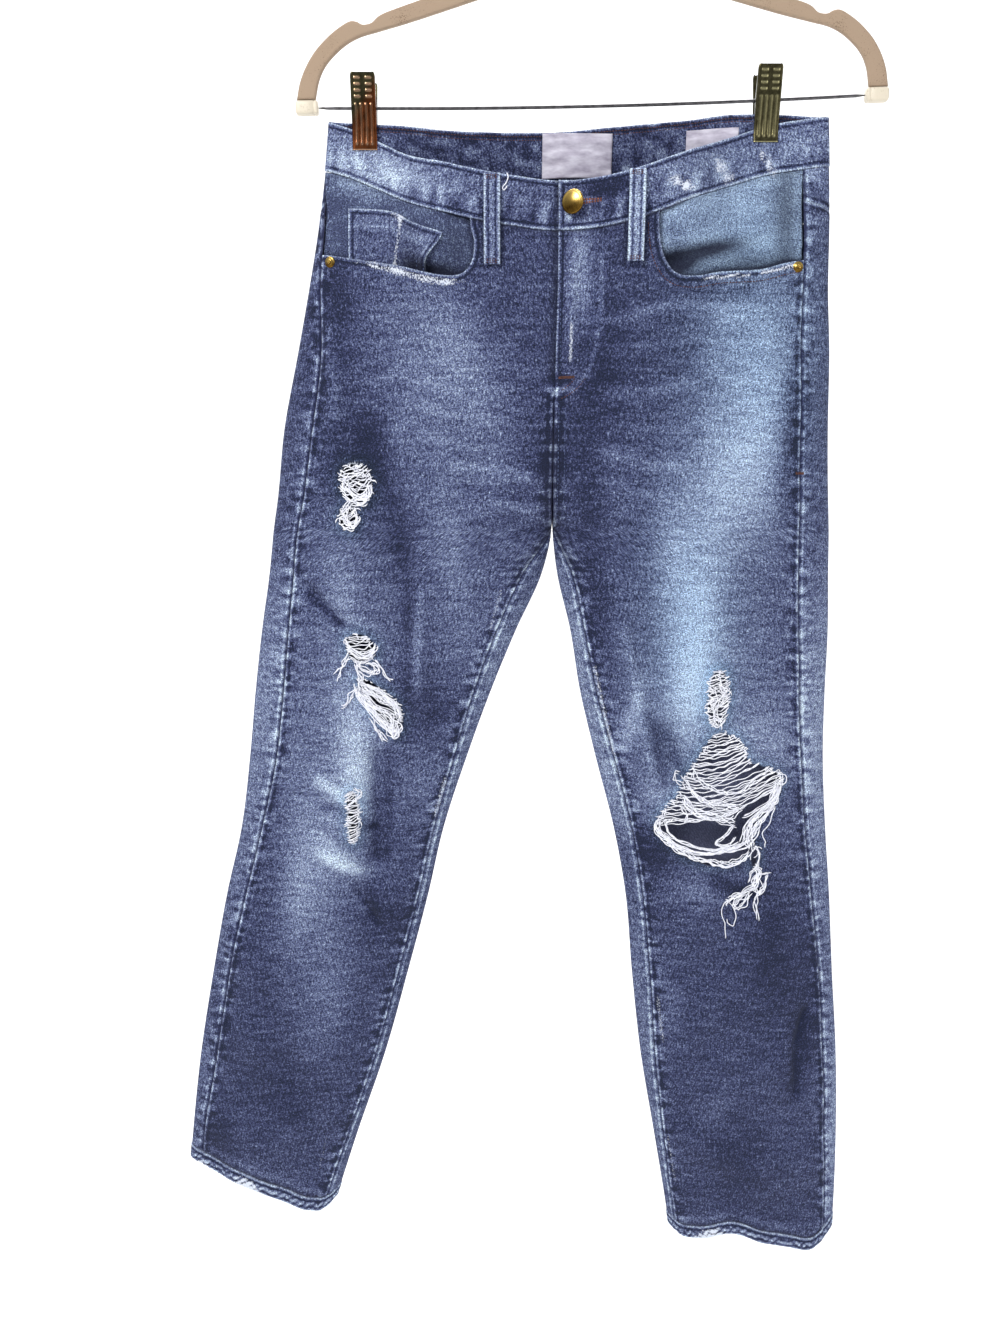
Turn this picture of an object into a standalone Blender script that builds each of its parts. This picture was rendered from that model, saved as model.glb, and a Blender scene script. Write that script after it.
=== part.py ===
"""Ripped jeans hanging from a clip hanger.

The garment hangs flat, as on a rail: the two clips press the front and back of the waistband together,
and the hips and legs hang below as soft, slightly open tubes. Every sewn piece is its own shell, worked
out from one surface, skin(), which gives the place of the cloth from a few section tables.

Frame: +Z up, +X to the wearer's left, -Y to the front. The origin is the seat of the hanger's hook, the
inner top of its bend. Tables and cloth functions work in millimetres, and meshes are made in metres.
"""
import math

import bmesh
import bpy
import numpy as np

MM = 0.001

# Driving dimensions, in millimetres.
PANEL_WALL = 1.2          # one layer of denim
BAND_WALL = 2.4           # two layers, in the waistband and the hems
LOOP_WALL = 1.8           # a folded strip
LABEL_WALL = 1.0
SEAM_GAP = 0.6            # between pieces that meet edge to edge
BAND_GAP = 1.2            # between the thicker waistband or hem and the panels
YOKE_GAP = 1.2            # between the yoke and the back panel
LAY_GAP = 0.4             # between pieces that lie on each other
BAND_HEIGHT = 35.0        # the waistband's height
HEM_HEIGHT = 13.0         # the turned hem's height
CROTCH_HEIGHT = -541.0    # where the legs part
RISE_CURVE = 60.0         # how far above the crotch the centre seams start to curve under
FLY_BOTTOM = -425.0       # the lower end of the fly's lap
FLY_LAP = 7.0             # how far the right front runs under the left front
BAND_LAP = 36.0           # how far the waistband's right end runs under its left end
YOKE_SIDE = 0.918         # share of the way from crotch to waistband where the yoke meets the side seam
YOKE_DROP = 68.0          # the yoke's depth at the centre back

CLIP_HALF_WIDTH = 8.9
CLIP_BITE_TOP = -262.0    # above this the clips hold the cloth flat
CLIP_EASE_LOW = -332.0    # below this the cloth hangs free of them

BAR_CENTRE = (2.5, -222.4)   # x and z of the middle of the hanger's lower bar
BAR_TILT = math.radians(1.23)
BAR_RADIUS = 1.1
BAR_HALF = 205.7
ARM_THICKNESS = 5.0
ARM_LEAN = 0.04           # sideways for each millimetre above the bar
BAR_SAG = 3.2             # the loaded bar's dip at its middle
CAP_SIZE = (16.6, 8.0, 10.0)
HOOK_RADIUS = 19.0
HOOK_WIRE = 1.75

# The garment's sections, from the waist down. All columns are millimetres: height, outer fold, inner fold
# (the centre line above the crotch), side seam, inseam, depth of the front layer and depth of the back one.
SECTIONS = {
    "right": [
        (-236, -195, -22, -195, -22, 16, 10),
        (-270, -199, -23, -199, -23, 20, 13),
        (-313, -206, -23, -201, -23, 22, 18),
        (-357, -215, -23, -205, -23, 24, 25),
        (-402, -225, -24, -205, -24, 26, 29),
        (-463, -239, -25, -214, -25, 27, 30),
        (-519, -247, -25, -224, -25, 26, 28),
        (-541, -251, -24, -229, -24, 25, 26),
        (-576, -256, -31, -234, -46, 23, 24),
        (-626, -265, -53, -241, -69, 21, 22),
        (-678, -273, -74, -247, -88, 19, 20),
        (-731, -280, -93, -255, -104, 18, 19),
        (-803, -292, -116, -273, -124, 17, 19),
        (-860, -307, -129, -289, -137, 16, 18),
        (-937, -324, -149, -308, -157, 15, 17),
        (-1017, -340, -171, -324, -179, 14, 15),
        (-1101, -353, -199, -341, -207, 13, 13),
        (-1187, -364, -226, -352, -236, 12, 12),
    ],
    "left": [
        (-236, 181, -22, 163, -22, 16, 10),
        (-270, 184, -23, 164, -23, 20, 13),
        (-313, 187, -23, 165, -23, 22, 18),
        (-357, 189, -23, 166, -23, 24, 25),
        (-402, 193, -24, 167, -24, 26, 29),
        (-463, 196, -25, 170, -25, 27, 30),
        (-519, 200, -25, 173, -25, 26, 28),
        (-541, 202, -24, 174, -24, 25, 26),
        (-576, 204, -20, 176, -9, 23, 24),
        (-626, 207, -8, 179, 3, 21, 22),
        (-678, 208, 1, 183, 14, 19, 20),
        (-731, 210, 14, 188, 29, 18, 19),
        (-803, 217, 33, 197, 48, 17, 19),
        (-860, 224, 44, 206, 58, 16, 18),
        (-937, 232, 52, 218, 67, 15, 17),
        (-1017, 241, 62, 227, 74, 14, 15),
        (-1101, 247, 77, 234, 85, 13, 13),
        (-1187, 250, 92, 240, 98, 12, 12),
        (-1220, 250, 97, 240, 104, 12, 12),
    ],
}
COLUMNS = ("height", "outer", "inner", "side_seam", "inseam", "front_depth", "back_depth")

# Where the section is deepest, as a share of the way from its inner to its outer fold.
DEEPEST = [(-1220, 0.50), (-600, 0.50), (-541, 0.45), (-463, 0.38), (-236, 0.36)]

# The waistband's upper edge: x, height at the front, height at the back.
WAIST_EDGE = [
    (-200, -236, -236),
    (-182, -241, -237),
    (-160, -250, -238),
    (-130, -263, -239),
    (-100, -271, -240),
    (-60, -279, -241),
    (-20, -283, -241),
    (25, -277, -237),
    (73, -261, -233),
    (108, -248, -231),
    (134, -240, -231),
    (184, -233, -233),
]

# The hem's lower edge: share of the way from the inner to the outer fold, height on the right leg at the
# front and back, height on the left leg at the front and back.
HEM_EDGE = [
    (0.00, -1169, -1169, -1200, -1200),
    (0.05, -1178, -1167, -1209, -1199),
    (0.16, -1179, -1163, -1211, -1197),
    (0.38, -1165, -1153, -1202, -1196),
    (0.55, -1155, -1147, -1212, -1196),
    (0.72, -1146, -1140, -1218, -1197),
    (0.88, -1134, -1133, -1222, -1199),
    (1.00, -1127, -1127, -1202, -1202),
]

CLIP_X = {"right": -168.7, "left": 134.3}

# The large folds: layer, upper end (x, height), lower end (x, height), half width and rise, which is
# negative for a trough.
FOLDS = [
    ("front", -199, -372, -195, -462, 7, 3.5),
    ("front", -188, -425, -180, -490, 9, -3.5),
    ("front", -170, -455, -148, -552, 15, -4.5),
    ("front", -148, -552, -147, -640, 13, -4.5),
    ("front", -131, -585, -136, -700, 10, 3.0),
    ("front", -228, -585, -190, -625, 9, -4.0),
    ("front", -205, -690, -210, -850, 24, 5.0),
    ("front", -168, -712, -174, -850, 11, -5.5),
    ("front", -216, -816, -186, -836, 7, 3.0),
    ("front", -196, -850, -172, -892, 9, -3.0),
    ("front", 28, -590, 66, -768, 10, 3.5),
    ("front", 66, -700, 92, -760, 12, -4.5),
    ("front", 95, -540, 102, -670, 30, 3.5),
    ("front", 205, -965, 203, -1062, 8, -3.5),
    ("front", 150, -850, 120, -930, 14, -3.0),
    ("front", -60, -470, -110, -530, 16, -3.0),
    ("front", 10, -480, 60, -540, 16, -3.0),
    ("back", -60, -500, -165, -560, 13, -5.0),
    ("back", -55, -560, -170, -610, 12, -4.0),
    ("back", 10, -500, 110, -560, 13, -5.0),
    ("back", 25, -565, 125, -600, 12, -4.0),
    ("back", -130, -740, -235, -765, 11, -4.5),
    ("back", -150, -800, -250, -815, 12, 4.0),
    ("back", -165, -860, -270, -850, 11, -4.0),
    ("back", 60, -745, 160, -770, 11, -4.5),
    ("back", 75, -810, 180, -800, 12, 4.0),
    ("back", 80, -860, 190, -872, 11, -4.0),
    ("back", -250, -960, -300, -1060, 14, -3.5),
    ("back", 130, -960, 170, -1070, 14, -3.5),
]

# The mouths of the front pockets (x, height), from the side seam to the waistband, and past both.
POCKET_MOUTH = {
    "right": [(-225, -332), (-202, -333), (-172, -338), (-142, -343), (-114, -349), (-97, -349),
              (-88, -340), (-86, -325), (-89, -309), (-90, -250), (-225, -230)],
    "left": [(190, -334), (168, -337), (150, -340), (130, -345), (100, -347), (82, -350),
             (67, -348), (58, -337), (54, -322), (53, -304), (53, -225), (190, -215)],
}

# The torn-open left knee (x, height).
KNEE_TEAR = [(114, -711), (134, -717), (143, -735), (160, -741), (172, -752), (166, -768), (149, -791),
             (146, -815), (126, -828), (101, -825), (81, -811), (69, -790), (85, -765), (96, -741)]

# Rows of the cloth meshes, as shares of the way up the leg and up the hip.
LEG_ROWS = [0.0, 0.06, 0.13, 0.21, 0.29, 0.37, 0.44, 0.51, 0.58, 0.65, 0.72, 0.79, 0.86, 0.93, 0.98, 1.0]
HIP_ROWS = [0.0, 0.012, 0.05, 0.11, 0.20, 0.32, 0.45, 0.58, 0.70, 0.81, YOKE_SIDE, 0.945, 0.972, 1.0]
FRONT_COLUMNS = 11
BACK_COLUMNS = 14
RING_COLUMNS = 26
BAND_COLUMNS = 16         # to each quarter of the waistband
BAND_ROWS = 4


def smooth_curve(points, place):
    """Read a smooth curve through (place, value) rows, rising or falling, at any places."""
    rows = sorted(points)
    knots = np.array([row[0] for row in rows], dtype=float)
    values = np.array([row[1] for row in rows], dtype=float)
    slopes = np.gradient(values, knots)
    place = np.clip(place, knots[0], knots[-1])
    start = np.clip(np.searchsorted(knots, place, side="right") - 1, 0, len(knots) - 2)
    span = knots[start + 1] - knots[start]
    t = (place - knots[start]) / span
    rise = values[start + 1] - values[start]
    low = slopes[start] * span
    high = slopes[start + 1] * span
    return values[start] + t * (low + t * (3 * rise - 2 * low - high + t * (low + high - 2 * rise)))


def ease(value):
    """Go smoothly from 0 to 1 as value does."""
    value = np.clip(value, 0.0, 1.0)
    return value * value * (3 - 2 * value)


def section(side, column, height):
    """Read one column of a half's section table at any height. The halves stay a seam's gap apart."""
    index = COLUMNS.index(column)
    value = smooth_curve([(row[0], row[index]) for row in SECTIONS[side]], height)
    if column not in ("inner", "inseam"):
        return value
    apart = SEAM_GAP / 2 + PANEL_WALL / 2 * ease((CROTCH_HEIGHT + 45 - height) / 40)
    return value + apart if side == "left" else value - apart


def openness(height):
    """How far the front and back stand apart at the centre line: shut at the crotch, open above it."""
    up = np.clip((height - CROTCH_HEIGHT) / RISE_CURVE, 0.0, 1.0)
    return np.sqrt(1 - (1 - up) ** 2)


def clip_hold(x, height):
    """How firmly the clips press the two layers flat, from 0 to 1."""
    hold = np.zeros_like(x * height)
    for centre in CLIP_X.values():
        beside = 1 - ease((np.abs(x - centre) - 20) / 44)
        hold = np.maximum(hold, beside)
    return hold * ease((height - CLIP_EASE_LOW) / (CLIP_BITE_TOP - CLIP_EASE_LOW))


def fold_relief(layer, x, height):
    """How far the folds lift the cloth off its plain form."""
    relief = np.zeros_like(x * height)
    for fold_layer, x0, z0, x1, z1, half_width, rise in FOLDS:
        if fold_layer != layer:
            continue
        length = math.hypot(x1 - x0, z1 - z0)
        along = ((x - x0) * (x1 - x0) + (height - z0) * (z1 - z0)) / length ** 2
        across = ((x - x0) * (z1 - z0) - (height - z0) * (x1 - x0)) / length
        past_end = np.maximum(0, np.abs(along - 0.5) - 0.35) * length / (half_width * 1.6)
        relief = relief + rise * np.exp(-(across / half_width) ** 2 - past_end ** 2)
    return relief


def skin(side, turn, height, out=0.0):
    """Place of the cloth's middle surface in one half of the garment.

    turn goes round the section: -90 degrees is the inner end of the front layer, 90 the outer fold and
    270 the inner end of the back layer. On a leg it runs on past 270 round the inner fold. out moves the
    cloth outwards.
    """
    turn, height = np.broadcast_arrays(np.asarray(turn, float), np.asarray(height, float))
    outer = section(side, "outer", height)
    inner = section(side, "inner", height)
    middle = inner + smooth_curve(DEEPEST, height) * (outer - inner)
    sine = np.sin(turn)
    x = middle + np.where(sine > 0, outer - middle, middle - inner) * sine
    front = (turn <= math.pi / 2) | (turn > 1.5 * math.pi + 1e-9)
    depth = np.where(front, section(side, "front_depth", height), section(side, "back_depth", height))
    gap = np.where(sine < 0, openness(height), 0.0)
    roundness = np.sqrt(gap ** 2 + (1 - gap ** 2) * np.cos(turn) ** 2)
    relief = np.where(front, fold_relief("front", x, height), fold_relief("back", x, height))
    lift = depth * roundness + relief * ease(roundness / 0.6) + out
    flat = (BAND_WALL / 2 + 0.25) * np.clip(roundness * 4, 0, 1) + out
    hold = clip_hold(x, height)
    lift = lift + (flat - lift) * hold
    return x, np.where(front, -lift, lift), height


def seam_turn(side, column, height):
    """The turn of a seam that shows on the front layer."""
    outer = section(side, "outer", height)
    inner = section(side, "inner", height)
    middle = inner + smooth_curve(DEEPEST, height) * (outer - inner)
    x = section(side, column, height)
    reach = np.where((x - middle) * (outer - middle) > 0, outer - middle, inner - middle)
    share = np.clip((x - middle) / reach, 0, 1)
    return np.where(reach * (outer - middle) > 0, 1, -1) * np.arcsin(share)


def inner_turn(side, height):
    """The turn where the front panel ends inwards: the centre line, or the inseam below the crotch."""
    return np.where(height >= CROTCH_HEIGHT, -math.pi / 2, seam_turn(side, "inseam", height))


def turn_step(side, turn, height, distance):
    """How much turn covers a distance along the cloth."""
    outer = section(side, "outer", height)
    inner = section(side, "inner", height)
    depth = section(side, "front_depth", height)
    reach = np.abs(outer - inner) / 2
    along = np.sqrt((reach * np.cos(turn)) ** 2 + (depth * np.sin(turn)) ** 2)
    return distance / along


def waist_height(layer, x):
    """Height of the waistband's upper edge."""
    index = 1 if layer == "front" else 2
    return smooth_curve([(row[0], row[index]) for row in WAIST_EDGE], x)


def hem_height(side, turn, height):
    """Height of the hem's lower edge round the leg."""
    x = skin(side, turn, height)[0]
    outer = section(side, "outer", height)
    inner = section(side, "inner", height)
    share = (x - inner) / (outer - inner)
    first = 1 if side == "right" else 3
    front = smooth_curve([(row[0], row[first]) for row in HEM_EDGE], share)
    back = smooth_curve([(row[0], row[first + 1]) for row in HEM_EDGE], share)
    return np.where((turn <= math.pi / 2) | (turn > 1.5 * math.pi), front, back)


def edge_by_turn(edge, side, turn_at, guess):
    """Solve for the height of an edge that depends on x, at a turn that depends on height."""
    height = np.full_like(turn_at(np.float64(guess)), guess)
    for _ in range(6):
        turn = turn_at(height)
        height = edge(turn, height)
    return height


# ---------------------------------------------------------------- scene helpers

for old in list(bpy.data.objects):
    bpy.data.objects.remove(old, do_unlink=True)

parts = bpy.data.collections.new("ripped_jeans")
cutters = bpy.data.collections.new("cutters")
bpy.context.scene.collection.children.link(parts)
bpy.context.scene.collection.children.link(cutters)


def material(name, colour, roughness, metallic=0.0):
    """A Principled material from an sRGB hex colour."""
    shader = bpy.data.materials.new(name)
    shader.use_nodes = True
    channels = [int(colour[i:i + 2], 16) / 255 for i in (0, 2, 4)]
    linear = [c / 12.92 if c <= 0.04045 else ((c + 0.055) / 1.055) ** 2.4 for c in channels]
    principled = shader.node_tree.nodes["Principled BSDF"]
    principled.inputs["Base Color"].default_value = (*linear, 1.0)
    principled.inputs["Roughness"].default_value = roughness
    principled.inputs["Metallic"].default_value = metallic
    shader.diffuse_color = (*linear, 1.0)
    return shader


def add_part(name, mesh, colour, roughness, metallic=0.0, smooth=True):
    """Link a named piece with its own material."""
    mesh.materials.append(material(name + "_finish", colour, roughness, metallic))
    piece = bpy.data.objects.new(name, mesh)
    parts.objects.link(piece)
    if smooth:
        mesh.shade_smooth()
    return piece


def grid_mesh(name, points, closed=False):
    """An open surface through a grid of points, rows by columns, in millimetres."""
    rows, columns = points.shape[:2]
    body = bmesh.new()
    made = [[body.verts.new(points[r, c] * MM) for c in range(columns)] for r in range(rows)]
    last = columns if closed else columns - 1
    for r in range(rows - 1):
        for c in range(last):
            after = (c + 1) % columns
            body.faces.new((made[r][c], made[r][after], made[r + 1][after], made[r + 1][c]))
    bmesh.ops.recalc_face_normals(body, faces=body.faces)
    mesh = bpy.data.meshes.new(name)
    body.to_mesh(mesh)
    body.free()
    return mesh


def cloth(name, points, wall, colour, closed=False, roughness=0.9):
    """A sewn piece: an open surface given its thickness, half to each side."""
    piece = add_part(name, grid_mesh(name, points, closed), colour, roughness)
    shell = piece.modifiers.new("wall", "SOLIDIFY")
    shell.thickness = wall * MM
    shell.offset = 0.0
    return piece


def stack(x, y, z):
    """Join three arrays of places into one grid of points."""
    return np.stack(np.broadcast_arrays(x, y, z), axis=-1).astype(float)


def smooth_outline(points, steps):
    """A closed outline with a smooth curve through its points."""
    count = len(points)
    line = []
    for i in range(count):
        p0, p1, p2, p3 = (np.array(points[(i + k - 1) % count], float) for k in range(4))
        for step in range(steps):
            t = step / steps
            line.append(0.5 * (2 * p1 + (p2 - p0) * t + (2 * p0 - 5 * p1 + 4 * p2 - p3) * t ** 2
                               + (3 * p1 - p0 - 3 * p2 + p3) * t ** 3))
    return line


def cut_through(piece, outline, y_low, y_high):
    """Cut an outline, given in x and height, right through a piece."""
    body = bmesh.new()
    ring = [body.verts.new((x * MM, y_low * MM, z * MM)) for x, z in outline]
    face = body.faces.new(ring)
    swept = bmesh.ops.extrude_face_region(body, geom=[face])
    moved = [item for item in swept["geom"] if isinstance(item, bmesh.types.BMVert)]
    bmesh.ops.translate(body, verts=moved, vec=(0, (y_high - y_low) * MM, 0))
    bmesh.ops.recalc_face_normals(body, faces=body.faces)
    mesh = bpy.data.meshes.new(piece.name + "_cut")
    body.to_mesh(mesh)
    body.free()
    cutter = bpy.data.objects.new(piece.name + "_cut", mesh)
    cutter.hide_render = True
    cutter.display_type = "WIRE"
    cutters.objects.link(cutter)
    knife = piece.modifiers.new("cut", "BOOLEAN")
    knife.operation = "DIFFERENCE"
    knife.object = cutter


# ---------------------------------------------------------------- legs

DENIM_FRONT = "6f80a6"
DENIM_BACK = "56668c"
DENIM_BAND = "5f7096"
DENIM_POCKET = "8fa6c6"


def row_heights(low, middle, high):
    """Heights of all rows, hem to waistband, between three edges given along the columns."""
    leg = [low + (middle - low) * share for share in LEG_ROWS[:-1]]
    hip = [middle + (high - middle) * share for share in HIP_ROWS]
    return np.array(leg + hip)


def front_turn(side, share, height, gap):
    """Turn across the front panel, from its inner edge to the side seam."""
    inner = inner_turn(side, height)
    seam = seam_turn(side, "side_seam", height)
    inner = inner + turn_step(side, inner, height, gap / 2)
    seam = seam - turn_step(side, seam, height, gap / 2)
    return inner + (seam - inner) * share


def back_turn(side, share, height, gap):
    """Turn across the back panel, from the side seam round the outer fold to its inner edge."""
    seam = seam_turn(side, "side_seam", height)
    inner = inner_turn(side, height) + 2 * math.pi
    inner = inner - turn_step(side, inner, height, gap / 2)
    seam = seam + turn_step(side, seam, height, gap / 2)
    return seam + (inner - seam) * share


def hem_top(side, turn, height):
    return hem_height(side, turn, height) + HEM_HEIGHT + BAND_GAP


def band_bottom(layer, side, turn, height):
    x = skin(side, turn, height)[0]
    return waist_height(layer, x) - BAND_HEIGHT - BAND_GAP


def fly_lap(side, x, height):
    """The left front stands off the right one where it laps over it."""
    if side == "right":
        return 0.0
    across = 1 - ease((x - 14) / 34)
    down = ease((height + 490) / 40)
    return (PANEL_WALL + LAY_GAP) * across * down


def front_points(side):
    """The front panel: centre line and inseam to side seam, hem to waistband."""
    share = np.linspace(0, 1, FRONT_COLUMNS + 1)
    low = edge_by_turn(lambda turn, height: hem_top(side, turn, height), side,
                       lambda height: front_turn(side, share, height, SEAM_GAP), -1160.0)
    high = edge_by_turn(lambda turn, height: band_bottom("front", side, turn, height), side,
                        lambda height: front_turn(side, share, height, SEAM_GAP), -300.0)
    height = row_heights(low, np.full_like(share, CROTCH_HEIGHT), high)
    turn = front_turn(side, share, height, SEAM_GAP)
    x, y, z = skin(side, turn, height)
    y = y - fly_lap(side, x, z)
    if side == "right":
        under = FLY_LAP * ease((height - FLY_BOTTOM + 16) / 16) * np.clip(1 - share / 0.2, 0, 1)
        x = x + under
    return stack(x, y, z)


def back_points(side):
    """The back panel and yoke together: side seam to centre back and inseam, hem to waistband."""
    share = np.linspace(0, 1, BACK_COLUMNS + 1)
    low = edge_by_turn(lambda turn, height: hem_top(side, turn, height), side,
                       lambda height: back_turn(side, share, height, SEAM_GAP), -1160.0)

    def top(turn, height):
        front = band_bottom("front", side, turn, height)
        back = band_bottom("back", side, turn, height)
        return np.where(turn <= math.pi / 2, front, back)

    high = edge_by_turn(top, side, lambda height: back_turn(side, share, height, SEAM_GAP), -290.0)
    side_yoke = CROTCH_HEIGHT + (high - CROTCH_HEIGHT) * YOKE_SIDE
    centre_yoke = high - YOKE_DROP
    yoke = side_yoke + (centre_yoke - side_yoke) * share ** 0.8
    rows = []
    for height_share in LEG_ROWS[:-1]:
        rows.append(low + (CROTCH_HEIGHT - low) * height_share)
    for height_share in HIP_ROWS:
        if height_share <= YOKE_SIDE:
            rows.append(CROTCH_HEIGHT + (yoke - CROTCH_HEIGHT) * height_share / YOKE_SIDE)
        else:
            rows.append(yoke + (high - yoke) * (height_share - YOKE_SIDE) / (1 - YOKE_SIDE))
    height = np.array(rows)
    turn = back_turn(side, share, height, SEAM_GAP)
    x, y, z = skin(side, turn, height)
    return stack(x, y, z)


YOKE_ROW = len(LEG_ROWS) - 1 + HIP_ROWS.index(YOKE_SIDE)

for side in ("right", "left"):
    front = cloth(side + "_front", front_points(side), PANEL_WALL, DENIM_FRONT)
    cut_through(front, smooth_outline(POCKET_MOUTH[side], 3), -60, 20)
    back_grid = back_points(side)
    cloth(side + "_back", back_grid[:YOKE_ROW + 1], PANEL_WALL, DENIM_BACK)
    yoke_grid = back_grid[YOKE_ROW:].copy()
    yoke_grid[0, :, 2] += YOKE_GAP
    cloth(side + "_yoke", yoke_grid, PANEL_WALL, DENIM_BACK)
    if side == "left":
        cut_through(front, smooth_outline(KNEE_TEAR, 2), -60, 20)


# ---------------------------------------------------------------- hems

def hem_points(side):
    """The turned hem, a ring round the leg's end."""
    turn = np.linspace(0, 2 * math.pi, RING_COLUMNS, endpoint=False)
    turn = turn - math.pi / 2
    low = edge_by_turn(lambda at, height: hem_height(side, at, height), side,
                       lambda height: turn + 0 * height, -1160.0)
    height = np.array([low, low + HEM_HEIGHT / 2, low + HEM_HEIGHT])
    return stack(*skin(side, turn + 0 * height, height))


for side in ("right", "left"):
    cloth(side + "_hem", hem_points(side), BAND_WALL, DENIM_BAND, closed=True)


# ---------------------------------------------------------------- waistband

def band_lift(x):
    """The waistband's left end stands off its right end where they lap."""
    return (BAND_WALL + LAY_GAP) * (1 - ease((x - 16) / 30))


def band_column(layer, side, turn, extra, rows):
    """One column of the waistband from its lower to its upper edge."""
    def edge(at, height):
        return waist_height(layer, skin(side, at, height)[0] + extra)

    top = edge_by_turn(edge, side, lambda height: turn + 0 * height, -250.0)
    bottom = edge_by_turn(lambda at, height: edge(at, height) - BAND_HEIGHT, side,
                          lambda height: turn + 0 * height, -290.0)
    height = bottom + (top - bottom) * np.linspace(0, 1, rows)
    x, y, z = skin(side, turn, height)
    x = x + extra
    if side == "left" and layer == "front":
        y = y - band_lift(x)
    return np.stack([x, y, z], axis=-1)


def band_points():
    """The waistband, one strip all round, its left end on top of its right end at the front."""
    quarter = math.pi / 2
    columns = []
    for turn in np.linspace(-quarter, quarter, BAND_COLUMNS + 1):
        columns.append(band_column("front", "left", turn, 0.0, BAND_ROWS))
    for turn in np.linspace(quarter, 3 * quarter, BAND_COLUMNS + 1)[1:]:
        columns.append(band_column("back", "left", turn, 0.0, BAND_ROWS))
    for turn in np.linspace(3 * quarter, quarter, BAND_COLUMNS + 1)[1:]:
        columns.append(band_column("back", "right", turn, 0.0, BAND_ROWS))
    for turn in np.linspace(quarter, -quarter, BAND_COLUMNS + 1)[1:]:
        columns.append(band_column("front", "right", turn, 0.0, BAND_ROWS))
    for extra in (BAND_LAP / 3, BAND_LAP * 2 / 3, BAND_LAP):
        columns.append(band_column("front", "right", -quarter, extra, BAND_ROWS))
    return np.stack(columns, axis=1)


band_grid = band_points()
cloth("waistband", band_grid, BAND_WALL, DENIM_BAND)


# ---------------------------------------------------------------- pieces that lie on the panels

def turn_at_x(side, layer, x, height):
    """The turn at which a half's section passes a given x."""
    outer = section(side, "outer", height)
    inner = section(side, "inner", height)
    middle = inner + smooth_curve(DEEPEST, height) * (outer - inner)
    outward = (x - middle) * (outer - middle) > 0
    reach = np.where(outward, outer - middle, middle - inner)
    bend = np.arcsin(np.clip((x - middle) / reach, -1, 1))
    return bend if layer == "front" else math.pi - bend


def patch(side, layer, x_low, x_high, low, high, out, columns, rows):
    """Points over one layer between two x and two edges, moved out by a distance or by out(x, height)."""
    across = np.linspace(0, 1, columns + 1)
    up = np.linspace(0, 1, rows + 1)[:, None]
    x = x_low + (x_high - x_low) * across + 0 * up
    bottom = np.array([low(value) for value in x[0]])
    top = np.array([high(value) for value in x[0]])
    height = bottom + (top - bottom) * up
    turn = turn_at_x(side, layer, x, height)
    if callable(out):
        out = out(x, height)
    return stack(*skin(side, turn, height, out))


def level(height):
    return lambda x: height


FACING_IN = -(PANEL_WALL + 2 * LAY_GAP + 1.4)

# A facing meets the waistband and the side seam, and lies behind the front panel below and beside the mouth.
FACINGS = {"right": (-195.0, -78.0, -92.0), "left": (162.5, 44.0, 56.0)}


def facing_in(x, height, mouth_end):
    """How far the facing stands behind the front panel."""
    below_band = ease((waist_height("front", x) - BAND_HEIGHT - height) / 34)
    past_mouth = 1 - ease((np.abs(x - mouth_end) - 4) / 22)
    past_mouth = np.where(np.abs(x) < abs(mouth_end), 1.0, past_mouth)
    return FACING_IN * np.maximum(below_band, past_mouth)


for side in ("right", "left"):
    start, end, mouth = FACINGS[side]
    grid = patch(side, "front", start, end, level(-366.0),
                 lambda x: waist_height("front", x) - BAND_HEIGHT - BAND_GAP,
                 lambda x, height, mouth=mouth: facing_in(x, height, mouth), 10, 6)
    cloth(side + "_pocket_facing", grid, PANEL_WALL, DENIM_POCKET)


def coin_top(x):
    """The coin pocket's upper edge, which drops towards the fly."""
    return float(smooth_curve([(-182, -299), (-141, -305), (-109, -319)], x))


def coin_in(x, height):
    """The coin pocket lies on the right facing."""
    mouth_end = FACINGS["right"][2]
    return facing_in(x, height, mouth_end) + PANEL_WALL / 2 + LAY_GAP + 0.1 + LABEL_WALL / 2


grid = patch("right", "front", -182.0, -110.0, level(-362.0), coin_top, coin_in, 8, 6)
cloth("coin_pocket", grid, LABEL_WALL, DENIM_POCKET)

# The back pockets: x at the outer and inner edge, height of the top at each and of the pointed bottom.
BACK_POCKETS = {
    "right": (-172.0, -56.0, -352.0, -368.0, -494.0),
    "left": (132.0, 12.0, -352.0, -368.0, -494.0),
}
for side in ("right", "left"):
    outer_x, inner_x, outer_top, inner_top, bottom = BACK_POCKETS[side]
    middle_x = (outer_x + inner_x) / 2

    def pocket_top(x, outer_x=outer_x, inner_x=inner_x, outer_top=outer_top, inner_top=inner_top):
        return outer_top + (inner_top - outer_top) * (x - outer_x) / (inner_x - outer_x)

    def pocket_bottom(x, middle_x=middle_x, outer_x=outer_x, bottom=bottom):
        return bottom + 20.0 * abs(x - middle_x) / abs(outer_x - middle_x)

    grid = patch(side, "back", outer_x, inner_x, pocket_bottom, pocket_top,
                 PANEL_WALL + LAY_GAP + 0.3, 8, 6)
    cloth(side + "_back_pocket", grid, PANEL_WALL, DENIM_BACK)

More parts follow.
